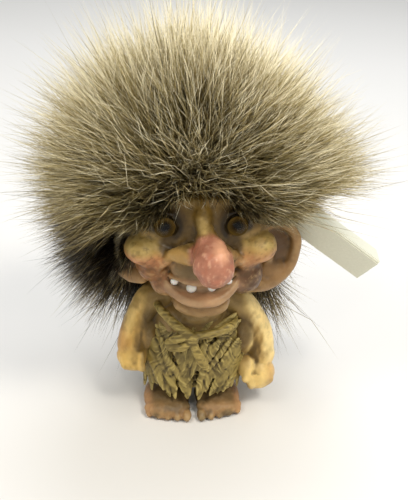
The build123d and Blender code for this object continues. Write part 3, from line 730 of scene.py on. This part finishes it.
def paintTunic(mesh):
    points = readPoints(mesh)
    paint = basePaint(points, "#7b6b3d")
    broad = 0.5 + 1.2 * noiseAt(points, 5, 3, 2)
    layer(paint, "#93824a", broad)
    layer(paint, "#5f522c", smoothStep(0.5, 0.0, broad) * 0.8)
    # Dark wash between the locks, deepened as painted shade, and pale paint rubbed off on their ridges,
    # lightened as a painted highlight
    relief = reliefOf(mesh, 10)
    deep, low, high, top = np.percentile(relief, (5, 45, 62, 95))
    layer(paint, "#bba968", smoothStep(high, top, relief) * 0.7)
    layer(paint, "#352a13", smoothStep(low, deep, relief))
    return paint


tunicMesh = makeTunic()
finishPaint(tunicMesh, paintTunic(tunicMesh), 6)
addPiece("leaf_tunic", tunicMesh, tunicMaterial, "painted_tunic", "tunic")

# Tie round the neck: two straps to a knot, one loop and one hanging end
tieForm = {"voxel": 0.3, "softenRounds": 3}
tieBlobs = chain([
    (-10.4, -9.4, 38.6, 1.3), (-6.4, -12.3, 35.3, 1.55), (-2, -13.5, 32.3, 1.5)], 24, (1, 0.9, 0.95))
tieBlobs += chain([
    (9.8, -11.2, 33.0, 1.45), (6.2, -12.8, 32.4, 1.55), (0.2, -13.6, 32.0, 1.5)], 22, (1, 0.9, 0.9))
tieBlobs += chain([
    (9.8, -11.2, 33.0, 1.4), (12.2, -7.6, 32.6, 1.2), (12.6, 0, 34, 1.1), (10, 6.4, 36, 1.0),
    (0, 9.8, 37, 1.0), (-10, 6.4, 38, 1.0), (-12, 0, 38.6, 1.1), (-11.6, -5, 38.8, 1.2),
    (-10.4, -9.4, 38.6, 1.3)], 90)
tieBlobs += [blob((-1.2, -14.4, 31.4), (2.0, 1.6, 1.8))]
tieBlobs += chain([
    (-1.6, -14.0, 31.6, 1.1), (-5, -14.2, 31.6, 1.35), (-8.2, -13.6, 29.8, 1.5), (-7.4, -13.8, 28.2, 1.5),
    (-4.4, -14.2, 28.2, 1.35), (-1.8, -14.3, 30, 1.1)], 34, (1, 0.8, 1))
tieBlobs += chain([
    (-1.2, -14.4, 30.8, 1.1), (0, -14.9, 27, 1.4), (1.6, -15.1, 23.6, 1.6), (3, -14.9, 21.2, 1.2)], 18,
    (1, 0.75, 1))
tieMesh = meltBlobs(tieBlobs, tieForm["voxel"], tieForm["softenRounds"])
liftPoints(tieMesh, 0.08 - 0.3 * np.abs(noiseAt(readPoints(tieMesh) * (0.4, 1, 1.2), 1.8, 2, 6)))
tiePaint = paintTunic(tieMesh)
layer(tiePaint, "#a08c4e", np.full(len(tiePaint), 0.35))
finishPaint(tieMesh, tiePaint, 6)
addPiece("tie", tieMesh, tunicMaterial, "painted_tunic", "tunic_tie")


# Plain matter of two close colours in soft spots, which also raise its surface a little
def makePlain(name, shadeHex, hexText, roughness, spotSize, detail=4.0, bump=(0.25, 0.04), **more):
    material, add = startMaterial(name)
    place = add("TexCoord").outputs["Object"]
    cloud = add("TexNoise", {"Vector": place, "Scale": 1 / (spotSize * mm), "Detail": detail})
    tint = add("Mix", {
        "Factor": cloud, "A": linear(shadeHex), "B": linear(hexText)}, data_type="RGBA")
    raised = add("Bump", {"Height": cloud, "Strength": bump[0], "Distance": bump[1] * mm})
    shader = add("BsdfPrincipled", {
        "Base Color": tint, "Roughness": roughness, "Normal": raised, **more})
    add("OutputMaterial", {"Surface": shader})
    return material


# Moulded polystyrene: bright white with a smooth glossy skin, and light that enters it a little
toothPlastic = makePlain(
    "moulded polystyrene, tooth white", "#f3f1ea", "#d9d3c4", 0.12, 1.2, 3.0, (0.2, 0.05),
    **{"IOR": 1.59, "Subsurface Weight": 0.15, "Subsurface Scale": 0.6 * mm})
# Annealed iron wire: grey with a half-dull drawn skin
steel = makePlain("annealed iron wire", "#4b4a48", "#6c6a66", 0.4, 0.6)
# Moulded butyl rubber: nearly black and matt
rubber = makePlain("moulded butyl rubber", "#1c1b1a", "#2b2a28", 0.7, 1.5)
# Extruded nylon: milky with a soft shine
nylon = makePlain("extruded nylon", "#d8d5ca", "#e9e7df", 0.35, 1.0)
# Solid-bleached paperboard: bright, matt, with a faint fibre
card = makePlain("solid bleached paperboard", "#d8d7c2", "#e9e8d5", 0.6, 0.7, 6.0, (0.3, 0.04))
# Knitted polyester, dyed dark and near black as painted shade deep in the fur, so that the roots vanish into
# it
knit = makePlain("knitted polyester backing", "#0f0b06", "#33281a", 0.9, 0.6, 5.0, (0.8, 0.3))

# Teeth: four separate pegs, pushed into the gum
toothForm = {"places": (-7.4, -2.6, 3.3, 8.3), "radii": (1.15, 0.75, 1.2), "sizes": (1.05, 1.35, 1.1, 0.9)}
toothBlobs = []
for place, size in zip(toothForm["places"], toothForm["sizes"]):
    front = -19.4 + 0.022 * (place - 0.5) ** 2
    toothBlobs.append(blob((place, front, float(mouthLine(place)) + 0.1),
                           tuple(radius * size for radius in toothForm["radii"])))
addPiece("tooth_pegs", meltBlobs(toothBlobs, 0.2, 3), toothPlastic, "tooth_plastic", "teeth")

# Glass eyes keep their CAD shapes; the colour lies on the discs behind the glass
eyeLook = {
    "irisHex": "#54411a",
    "irisDarkHex": "#1f1707",
    "pupilHex": "#060504",
    "irisRadius": 2.9,
    "pupilRadius": 0.85,
    "mirror": 0.02,  # how much the glass reflects
}


# Blown soda-lime glass: clear, with a hard polished skin that gives sharp highlights
def makeEyeGlass():
    material, add = startMaterial("blown soda-lime glass")
    bent = add("BsdfRefraction", {"Color": linear("#fffdf6"), "Roughness": 0.0, "IOR": 1.5})
    polished = add("BsdfGlossy", {"Color": linear("#ffffff"), "Roughness": 0.03})
    glassy = add("MixShader", {0: eyeLook["mirror"], 1: bent, 2: polished})
    path = add("LightPath")
    clear = add("BsdfTransparent")
    mixed = add("MixShader", {0: path.outputs["Is Shadow Ray"], 1: glassy, 2: clear})
    add("OutputMaterial", {"Surface": mixed})
    return material


# Baked enamel on the eye's flat back: an amber ring, dark at its outer edge, round a black pupil
def makeIrisEnamel():
    material, add = startMaterial("baked enamel, amber iris")
    place = add("TexCoord").outputs["Object"]
    ring = add("Attribute", attribute_name="fromPupil").outputs["Fac"]
    streaks = add("TexNoise", {"Vector": place, "Scale": 1 / (0.5 * mm), "Detail": 4.0})
    shifted = add("Math", {0: streaks, 1: 0.12, 2: ring}, operation="MULTIPLY_ADD")
    ramp = add("ValToRGB", {"Fac": shifted})
    split = eyeLook["pupilRadius"] / eyeLook["irisRadius"] + 0.06
    brown, dark = eyeLook["irisHex"], eyeLook["irisDarkHex"]
    fillRamp(ramp, ((split - 0.03, eyeLook["pupilHex"]), (split + 0.02, dark), (0.72, brown), (0.88, brown),
                    (1.0, dark)))
    shader = add("BsdfPrincipled", {
        "Base Color": ramp, "Roughness": 0.6, "Specular IOR Level": 0.05})
    add("OutputMaterial", {"Surface": shader})
    return material


# The painted back of an eye, just inside the glass; it also stands for the pupil's disc
def makeIris(word, material):
    low, high = (np.array(corner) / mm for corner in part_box(word + "_eye_glass"))
    centre = Vector(((low[0] + high[0]) / 2, high[1] - 0.06, (low[2] + high[2]) / 2))
    radius = eyeLook["irisRadius"]
    rings = 6
    bm = bmesh.new()
    turned = Matrix.Translation(centre * mm) @ Matrix.Rotation(math.radians(90), 4, "X")
    bmesh.ops.create_circle(bm, cap_ends=True, segments=48, radius=radius * mm, matrix=turned)
    for _ in range(rings):
        inner = [face for face in bm.faces if (face.calc_center_median() - centre * mm).length < 0.1 * mm]
        bmesh.ops.inset_individual(bm, faces=inner, thickness=radius / (rings + 1) * mm, use_even_offset=True)
    bmesh.ops.solidify(bm, geom=bm.faces[:], thickness=0.02 * mm)
    bmesh.ops.recalc_face_normals(bm, faces=bm.faces)
    mesh = toMesh(bm, "iris")
    away = np.linalg.norm(readPoints(mesh)[:, (0, 2)] - (centre.x, centre.z), axis=1)
    storeFloat(mesh, "fromPupil", away / radius)
    addPiece(word + "_iris", mesh, material, "iris_paint", word + "_iris_ring", word + "_pupil")


def dressNode(name, material):
    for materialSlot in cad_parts[name].material_slots:
        materialSlot.material = material


glass, iris = makeEyeGlass(), makeIrisEnamel()
for word in ("left", "right"):
    dressNode(word + "_eye_glass", glass)
    makeIris(word, iris)
    dressNode(word + "_eye_wire", steel)
for name, material in {
    "pour_plug": rubber, "tag_loop": nylon, "tag_upper_leaf": card, "tag_lower_leaf": card,
}.items():
    dressNode(name, material)

# Mane of fake fur
furForm = {
    "strands": 82000,
    "kept": 0.6,  # the part of the skull above the hairline
    "rootRadius": 20.4,
    "length": 42.0,
    "longest": 52,
    "thickness": 0.12,
    "whorl": (0.0, -0.66, 0.75),
    "spread": 0.6,  # how far strands near the whorl lean away from it
    "clump": 0.4,
    "stray": 0.19,
    "droop": 3.0,
    "undercoatShare": 0.4,
    "guardShare": 0.16,  # long bright strands among the rest
    "wander": 0.5,
}
furLook = {
    # From root to tip; the dark roots are partly painted shade deep in the fur
    "stops": ((0.0, "#171007"), (0.15, "#44371b"), (0.38, "#877544"), (0.76, "#bfad77"), (1.0, "#f8eecb")),
    "paintedGlintHex": "#f8eecb",
    "paintedGlintSize": 1.3,
}
# The tag keeps a parting open in the fur, in which it swings and opens, in its own directions
tagParting = {
    "hole": (29.8, 4.66, 70.4),
    "run": (0.8025, -0.2708, -0.5317),
    "across": (0.2083, 0.9622, -0.1756),
    "out": (0.5591, 0.0302, 0.8285),
    "runSpan": (3.0, 41.0),
    "acrossSpan": (-26.0, 12.0),
    "outSpan": (-25.0, 8.0),
}

# How far the tips reach from the middle of the head, by their direction seen from the front
maneReach = {
    "angles": (-180, -170, -146, -118, -90, -60, -36, -23, -2, 15, 45, 66, 90, 120, 148, 170, 180),
    "radii": (46, 45, 45, 54, 61, 62, 57, 56, 57, 58, 56, 59, 62, 62.5, 58, 50, 46),
    "share": 0.96,
    "low": (-61.0, -52.0, 5.0),
    "high": (67, 54, 138),
}


# Modacrylic fibre: fine, glossy and dark, with bleached tips; the darkest roots also stand for painted shade
# deep in the fur
def makeFur():
    material, add = startMaterial("tufted modacrylic fur")
    along = add("Attribute", attribute_name="rootTip").outputs["Fac"]
    toneAndShading = add("Attribute", attribute_name="toneAndShading").outputs["Fac"]
    shift = add("Math", {0: toneAndShading, 1: 0.35, 2: along}, operation="MULTIPLY_ADD")
    ramp = add("ValToRGB", {"Fac": shift})
    fillRamp(ramp, furLook["stops"])
    # Painted glints: short pieces of the strands are lightened towards white, standing in for the highlights
    # of crimped fibres
    place = add("TexCoord").outputs["Object"]
    glintPattern = add("TexNoise", {"Vector": place, "Scale": 1 / (furLook["paintedGlintSize"] * mm), "Detail": 1.0})
    paintedGlint = add("MapRange", {"Value": glintPattern, "From Min": 0.6, "From Max": 0.67})
    upper = add("Math", {0: paintedGlint, 1: shift}, operation="MULTIPLY", use_clamp=True)
    lit = add("Mix", {"Factor": upper, "A": ramp, "B": linear(furLook["paintedGlintHex"])}, data_type="RGBA")
    shader = add("BsdfPrincipled", {"Base Color": lit, "Roughness": 0.3, "IOR": 1.55})
    add("OutputMaterial", {"Surface": shader})
    return material


# One strand: a three-sided tube of three lengths that ends in a point, one unit long
def strandTemplate():
    bm = bmesh.new()
    bmesh.ops.create_circle(bm, cap_ends=True, segments=3, radius=1)
    heights = (0.0, 0.38, 0.72, 1.0)
    for low, high in zip(heights, heights[1:]):
        bm.faces.ensure_lookup_table()
        top = max(bm.faces, key=lambda face: (face.calc_center_median().z, len(face.verts) == 3, face.index))
        grown = bmesh.ops.extrude_face_region(bm, geom=[top])["geom"]
        newVerts = [item for item in grown if isinstance(item, bmesh.types.BMVert)]
        bmesh.ops.translate(bm, verts=newVerts, vec=(0, 0, high - low))
    bmesh.ops.pointmerge(bm, verts=newVerts, merge_co=(0, 0, 1))
    bmesh.ops.recalc_face_normals(bm, faces=bm.faces)
    mesh = toMesh(bm, "strand")
    points = np.array([tuple(vert.co) for vert in mesh.vertices])
    loops = np.array([loop.vertex_index for loop in mesh.loops])
    starts = np.array([face.loop_start for face in mesh.polygons])
    bpy.data.meshes.remove(mesh)
    return points, loops, starts


# Repeats the strand at every root, bent along its own way
def growStrands(template, roots, ways, bends, kinks, radii):
    points, loops, starts = template
    count, corners = len(roots), len(points)
    t = points[:, 2]
    side = unit(np.cross(ways, np.array((0.31, 0.17, 0.94))))
    other = unit(np.cross(ways, side))
    taper = radii[:, None] * (1 - 0.7 * t[None, :] ** 1.5)
    co = roots[:, None] + ways[:, None] * t[None, :, None] + bends[:, None] * (t ** 2)[None, :, None]
    co += kinks[:, None] * np.sin(2 * np.pi * t)[None, :, None]
    co += side[:, None] * (taper * points[None, :, 0])[:, :, None]
    co += other[:, None] * (taper * points[None, :, 1])[:, :, None]
    mesh = bpy.data.meshes.new("fur")
    mesh.vertices.add(count * corners)
    mesh.vertices.foreach_set("co", (co * mm).astype(np.float32).ravel())
    mesh.loops.add(count * len(loops))
    steps = np.arange(count)[:, None]
    mesh.loops.foreach_set("vertex_index", (loops[None, :] + steps * corners).astype(np.int32).ravel())
    mesh.polygons.add(count * len(starts))
    mesh.polygons.foreach_set("loop_start", (starts[None, :] + steps * len(loops)).astype(np.int32).ravel())
    mesh.update(calc_edges=True)
    storeFloat(mesh, "rootTip", np.tile(0.87 * t, count))
    return mesh


# Roots spread evenly over the skull, and how far each lies above the hairline
def hairRoots(count, rng):
    index = np.arange(count) + 0.5
    height = 1 - 2 * index / count
    turn = math.pi * (1 + 5 ** 0.5) * index
    level = np.sqrt(1 - height ** 2)
    normals = np.stack([level * np.cos(turn), level * np.sin(turn), height], axis=1)
    normals = unit(normals + rng.normal(0, 0.006, normals.shape))
    spots = headCentre + normals * furForm["rootRadius"]
    # Above a slope from the hairline to the nape that dips over the temples, with an uneven edge
    x, y, z = spots.T
    slope = 0.95 * (y + 13) + (z - 80.0) + 19 * (np.abs(x) / 20) ** 2
    # The viewer's right ear is left free
    slope -= 12 * smoothStep(68, 61, z) * smoothStep(9, 15, x) * smoothStep(4, -1, y)
    slope += 5 * smoothStep(2, 10, y)
    keep = slope + rng.normal(0, 0.7, count) > 0
    return spots[keep], normals[keep], slope[keep]


# Ways the strands grow, and which of them are the short row over the brows
def combFur(roots, normals, slope, rng):
    form = furForm
    count = len(roots)
    x, y, z = roots.T
    whorl = np.array(form["whorl"])
    whorl /= np.linalg.norm(whorl)
    # The whorl is untidy: each patch of strands has its own idea of where the middle is
    wander = noiseVectors(roots, 6, (130, 150, 170))
    middles = unit(whorl + form["wander"] * wander + rng.normal(0, 0.12, (count, 3)))
    near = np.clip(np.einsum("ij,ij->i", normals, middles), -1, 1)
    away = unit(normals * near[:, None] - middles)
    angle = np.degrees(np.arccos(near))
    lean = form["spread"] * smoothStep(95, 12, angle)
    ways = unit(normals + away * lean[:, None])
    coarse, fine = noiseVectors(roots, 8, (10, 30, 50)), noiseVectors(roots, 2.2, (70, 90, 110))
    # The nape's fur hangs behind the neck, and the sides lie over the tops of the ears
    ways[:, 2] -= 0.7 * smoothStep(64, 50, z) * smoothStep(0, 6, y)
    overEars = smoothStep(72, 62, z) * smoothStep(10, 16, np.abs(x)) * smoothStep(8, 2, y)
    ways[:, 1] -= np.where(x < 0, 0.42, 0.06) * overEars
    ways[:, 2] -= np.where(x < 0, 0.30, 0.0) * overEars
    stray = rng.normal(0, form["stray"], (count, 3))
    stray *= rng.choice((0.6, 1.0, 2.3), count, p=(0.4, 0.4, 0.2))[:, None]
    ways = unit(ways + form["clump"] * (1.2 * coarse + fine) + stray)
    # No strand of the fringe hangs over the face, but a short row, painted dark as the shade over the brows,
    # leans out over the brows
    overFace = (np.abs(x) < 10) & (y < -8) & (ways[:, 2] < 0.3)
    ways[overFace, 2] += 0.45
    browRow = (slope < 4.5) & (y < -6) & (rng.random(count) < 0.6)
    outward = np.stack([
        0.9 * x / 16, np.full(count, -0.8), 0.2 - 0.26 * smoothStep(4, 9, np.abs(x))], axis=1)
    ways[browRow] = (outward + rng.normal(0, 0.22, (count, 3)))[browRow]
    return unit(ways), browRow, angle, coarse


# Places that stay free of fur. The camera looks down, so each space rises towards the front
def leftFree(points, browRow):
    x, y, z = points.T
    wide = np.abs(x)
    face = (wide < 13.5 + 0.4 * np.maximum(-18 - y, 0)) & (y < -13.5) & (z < 74.5 - 0.5 * (y + 14))
    cheeks = (wide < 25) & (y < -9) & (z < 66.5 - 0.53 * (y + 12))
    beside = x - 0.23 * (y + 5)
    ear = (beside > 17) & (beside < 31.5) & (y < -4) & (z < 65 - 0.53 * (y + 5)) & (z > 44)
    chest = (wide < 27) & (y < -1) & (z < 47 - 0.53 * (y + 2))
    part = tagParting
    place = (points - part["hole"]) @ np.array((part["run"], part["across"], part["out"])).T
    low, high = np.array((part["runSpan"], part["acrossSpan"], part["outSpan"])).T
    parting = ((place > low) & (place < high)).all(axis=1)
    outside = ((points < maneReach["low"]) | (points > maneReach["high"])).any(axis=1)
    return (face & ~browRow) | cheeks | ear | chest | parting | outside


def makeMane():
    form = furForm
    rng = np.random.default_rng(12)
    roots, normals, slope = hairRoots(int(form["strands"] / form["kept"]), rng)
    count = len(roots)
    x, y, z = roots.T
    ways, browRow, angle, coarse = combFur(roots, normals, slope, rng)
    toTip = unit(roots + ways * form["length"] - headCentre)
    reach = np.interp(
        np.degrees(np.arctan2(toTip[:, 2], toTip[:, 0])), maneReach["angles"], maneReach["radii"])
    reach *= 1 - 0.15 * smoothStep(0.2, 0.9, toTip[:, 1]) - 0.1 * smoothStep(0.3, 0.9, -toTip[:, 1])
    # From the root along its way to the mane's outline
    along = np.einsum("ij,ij->i", roots - headCentre, ways)
    full = along ** 2 + (reach * maneReach["share"]) ** 2 - form["rootRadius"] ** 2
    full = np.minimum(np.sqrt(np.maximum(full, 1)) - along, form["longest"])
    tall = 0.52 + 0.56 * rng.beta(2.3, 1.4, count)
    under = rng.random(count) < form["undercoatShare"]
    guard = ~under & (rng.random(count) < form["guardShare"])
    lengths = full * np.where(under, rng.uniform(0.3, 0.8, count), tall)
    browLength = rng.uniform(4, 7, count) + 14 * smoothStep(3, 15, np.abs(x)) * rng.random(count)
    lengths = np.where(browRow, browLength, lengths)
    bends = (rng.normal(0, 0.13, (count, 3)) + 0.12 * coarse[:, ::-1]) * lengths[:, None]
    bends[:, 2] -= form["droop"] * (lengths / form["length"]) * smoothStep(0.9, 0.1, ways[:, 2])
    kinks = rng.normal(0, 0.028, (count, 3)) * lengths[:, None]
    # Strands are cut short where they enter a place that stays free
    for t in np.linspace(1.0, 0.3, 15):
        inside = leftFree(roots + ways * (lengths * t)[:, None] + bends * t * t, browRow)
        cut = np.where(inside, max(t - 0.06, 0.25), 1.0)
        lengths, bends, kinks = lengths * cut, bends * cut[:, None], kinks * cut[:, None]
    radii = form["thickness"] * np.where(guard, 1.45, 1.0) * rng.uniform(0.7, 1.2, count)
    # Tone: patchy, bright on guard hairs, dark in the undercoat; painted shade round the whorl and low down,
    # most on the viewer's left front; painted light on the upper strands, darker towards the outer sides, and
    # the brow row painted dark as shade
    toneAndShading = 0.1 + 0.6 * noiseAt(roots, 5, 2, 200) + rng.normal(0, 0.4, count)
    toneAndShading += np.where(guard, 0.8, 0) - 0.35 * under
    # Painted shade on the lower strands, deepest on the viewer's left front
    toneAndShading -= smoothStep(0.5, -0.2, toTip[:, 2]) * (
        0.9 + 0.9 * smoothStep(0.3, -0.3, toTip[:, 0]) * smoothStep(0.6, -0.2, toTip[:, 1]))
    # Painted shade round the whorl
    toneAndShading -= 0.9 * smoothStep(30, 12, angle)
    # Painted light on the upper strands, and darker towards the outer sides
    toneAndShading += 0.4 * smoothStep(0.35, 0.9, toTip[:, 2]) - 0.25 * smoothStep(0.5, 0.95, np.abs(toTip[:, 0]))
    # The brow row is painted dark as the shade over the brows
    toneAndShading = np.where(browRow, rng.uniform(-1.6, -0.7, count), toneAndShading)

    # Sewn panels: front, crown, both sides and back; the larger ones are kept in several pieces
    frontSeam, backSeam, crownHalf, halfWay = -8.0, 9.0, 9.0, 70
    middle = (y >= frontSeam) & (y <= backSeam)
    atBack = y > backSeam
    zones = [("fur_front", "mane_front", y < frontSeam),
             ("fur_crown", "mane_crown", middle & (np.abs(x) <= crownHalf))]
    for name, node, here in (
        ("fur_left", "mane_left", middle & (x > crownHalf)),
        ("fur_right", "mane_right", middle & (x < -crownHalf)),
        ("fur_back_left", "mane_back", atBack & (x > 0)),
        ("fur_back_right", "mane_back", atBack & (x <= 0)),
    ):
        zones += [(name + "_high", node, here & (z > halfWay)), (name + "_low", node, here & (z <= halfWay))]
    template, fur = strandTemplate(), makeFur()
    for name, node, chosen in zones:
        mesh = growStrands(template, *(values[chosen] for values in (
            roots, ways * lengths[:, None], bends, kinks, radii)))
        storeFloat(mesh, "toneAndShading", np.repeat(toneAndShading[chosen], len(template[0])))
        addPiece(name, mesh, fur, "fur", node)


makeMane()

# Knitted backing of the fur: a dark cap with its pile, near black as painted shade, seen only between strands
backingForm = {"radius": 20.9, "thickness": 0.8, "hairline": (0, -13, 79.6)}


def makeBacking():
    form = backingForm
    bm = bmesh.new()
    bmesh.ops.create_icosphere(
        bm, subdivisions=5, radius=form["radius"] * mm, matrix=Matrix.Translation(Vector(headCentre) * mm))
    bmesh.ops.bisect_plane(
        bm, geom=bm.verts[:] + bm.edges[:] + bm.faces[:], plane_co=Vector(form["hairline"]) * mm,
        plane_no=Vector((0, 0.95, 1)), clear_inner=True)
    bmesh.ops.recalc_face_normals(bm, faces=bm.faces)
    bmesh.ops.solidify(bm, geom=bm.faces[:], thickness=form["thickness"] * mm)
    return toMesh(bm, "backing")


addPiece("fur_knit", makeBacking(), knit, "knit_backing", "fur_backing")

# Floor, light and camera
stageForm = {"floorHalf": 1.5, "skyLevel": 0.55, "backdropLevel": 0.9, "lampReach": 0.65, "aim": (0, 0, 0.06)}


def makeStage():
    bm = bmesh.new()
    bmesh.ops.create_grid(bm, x_segments=4, y_segments=4, size=stageForm["floorHalf"])
    mesh = toMesh(bm, "floor")
    # Studio paper: pale, matt and smooth, with clouds a hand wide
    mesh.materials.append(
        makePlain("pale studio paper", "#dfddd7", "#e4e2dd", 0.8, 1000 / 6, 2.0, (0.0, 0.04)))
    floor = bpy.data.objects.new("floor", mesh)
    scene.collection.objects.link(floor)

    world = bpy.data.worlds.new("studio")
    scene.world = world
    world.use_nodes = True
    world.node_tree.nodes.clear()
    add = partial(addNode, world.node_tree)
    path = add("LightPath")
    seen = add("Math", {
        0: path.outputs["Is Camera Ray"], 1: path.outputs["Is Transmission Ray"]}, operation="MAXIMUM")
    soft = add("Background", {"Color": linear("#eef1f4"), "Strength": stageForm["skyLevel"]})
    plain = add("Background", {"Color": linear("#e8e6e1"), "Strength": stageForm["backdropLevel"]})
    mixed = add("MixShader", {0: seen, 1: soft, 2: plain})
    add("OutputWorld", {"Surface": mixed})


# Soft lamps: azimuth and elevation in degrees, size in metres, power in watts, and colour
softBoxes = {
    "key_right": (36, 56, 0.17, 2.5, "#fffaf2"),
    "key_left": (-50, 56, 0.17, 1.3, "#fffaf2"),
    "low_right": (24, 30, 0.035, 0.25, "#fffaf2"),
    "low_left": (-34, 33, 0.035, 0.25, "#fffaf2"),
    "top_back": (160, 62, 0.5, 2.8, "#f3f6ff"),
}


def makeLights():
    target = Vector(stageForm["aim"])
    for name, (azimuth, elevation, size, power, hexText) in softBoxes.items():
        around, up = math.radians(azimuth), math.radians(elevation)
        back = Vector((math.sin(around) * math.cos(up), -math.cos(around) * math.cos(up), math.sin(up)))
        light = bpy.data.lights.new(name, "AREA")
        light.size, light.energy, light.color = size, power, linear(hexText)[:3]
        lamp = bpy.data.objects.new(name, light)
        lamp.location = target + back * stageForm["lampReach"]
        lamp.rotation_euler = (-back).to_track_quat("-Z", "Y").to_euler()
        scene.collection.objects.link(lamp)


# The camera is fitted to the photograph's 408 x 500 frame; its focal length is 860 pixels
cameraFit = {
    "place": (-25.192, -229.608, 177.002),
    "right": (0.993938, -0.105533, 0.030814),
    "up": (0.022540, 0.469942, 0.882410),
    "forward": (0.107604, 0.876366, -0.469472),
    "focalPixels": 860,
    "longSidePixels": 500,
}


def makeCamera():
    fit = cameraFit
    data = bpy.data.cameras.new("camera")
    data.sensor_fit = "AUTO"
    data.sensor_width = 36
    data.lens = data.sensor_width * fit["focalPixels"] / fit["longSidePixels"]
    data.clip_start, data.clip_end = 0.01, 20
    camera = bpy.data.objects.new("camera", data)
    turn = Matrix([Vector(fit["right"]), Vector(fit["up"]), -Vector(fit["forward"])]).transposed()
    camera.matrix_world = Matrix.Translation(Vector(fit["place"]) * mm) @ turn.to_4x4()
    scene.collection.objects.link(camera)
    scene.camera = camera


makeStage()
makeLights()
makeCamera()
scene.view_settings.view_transform = "Standard"
print("stage done")
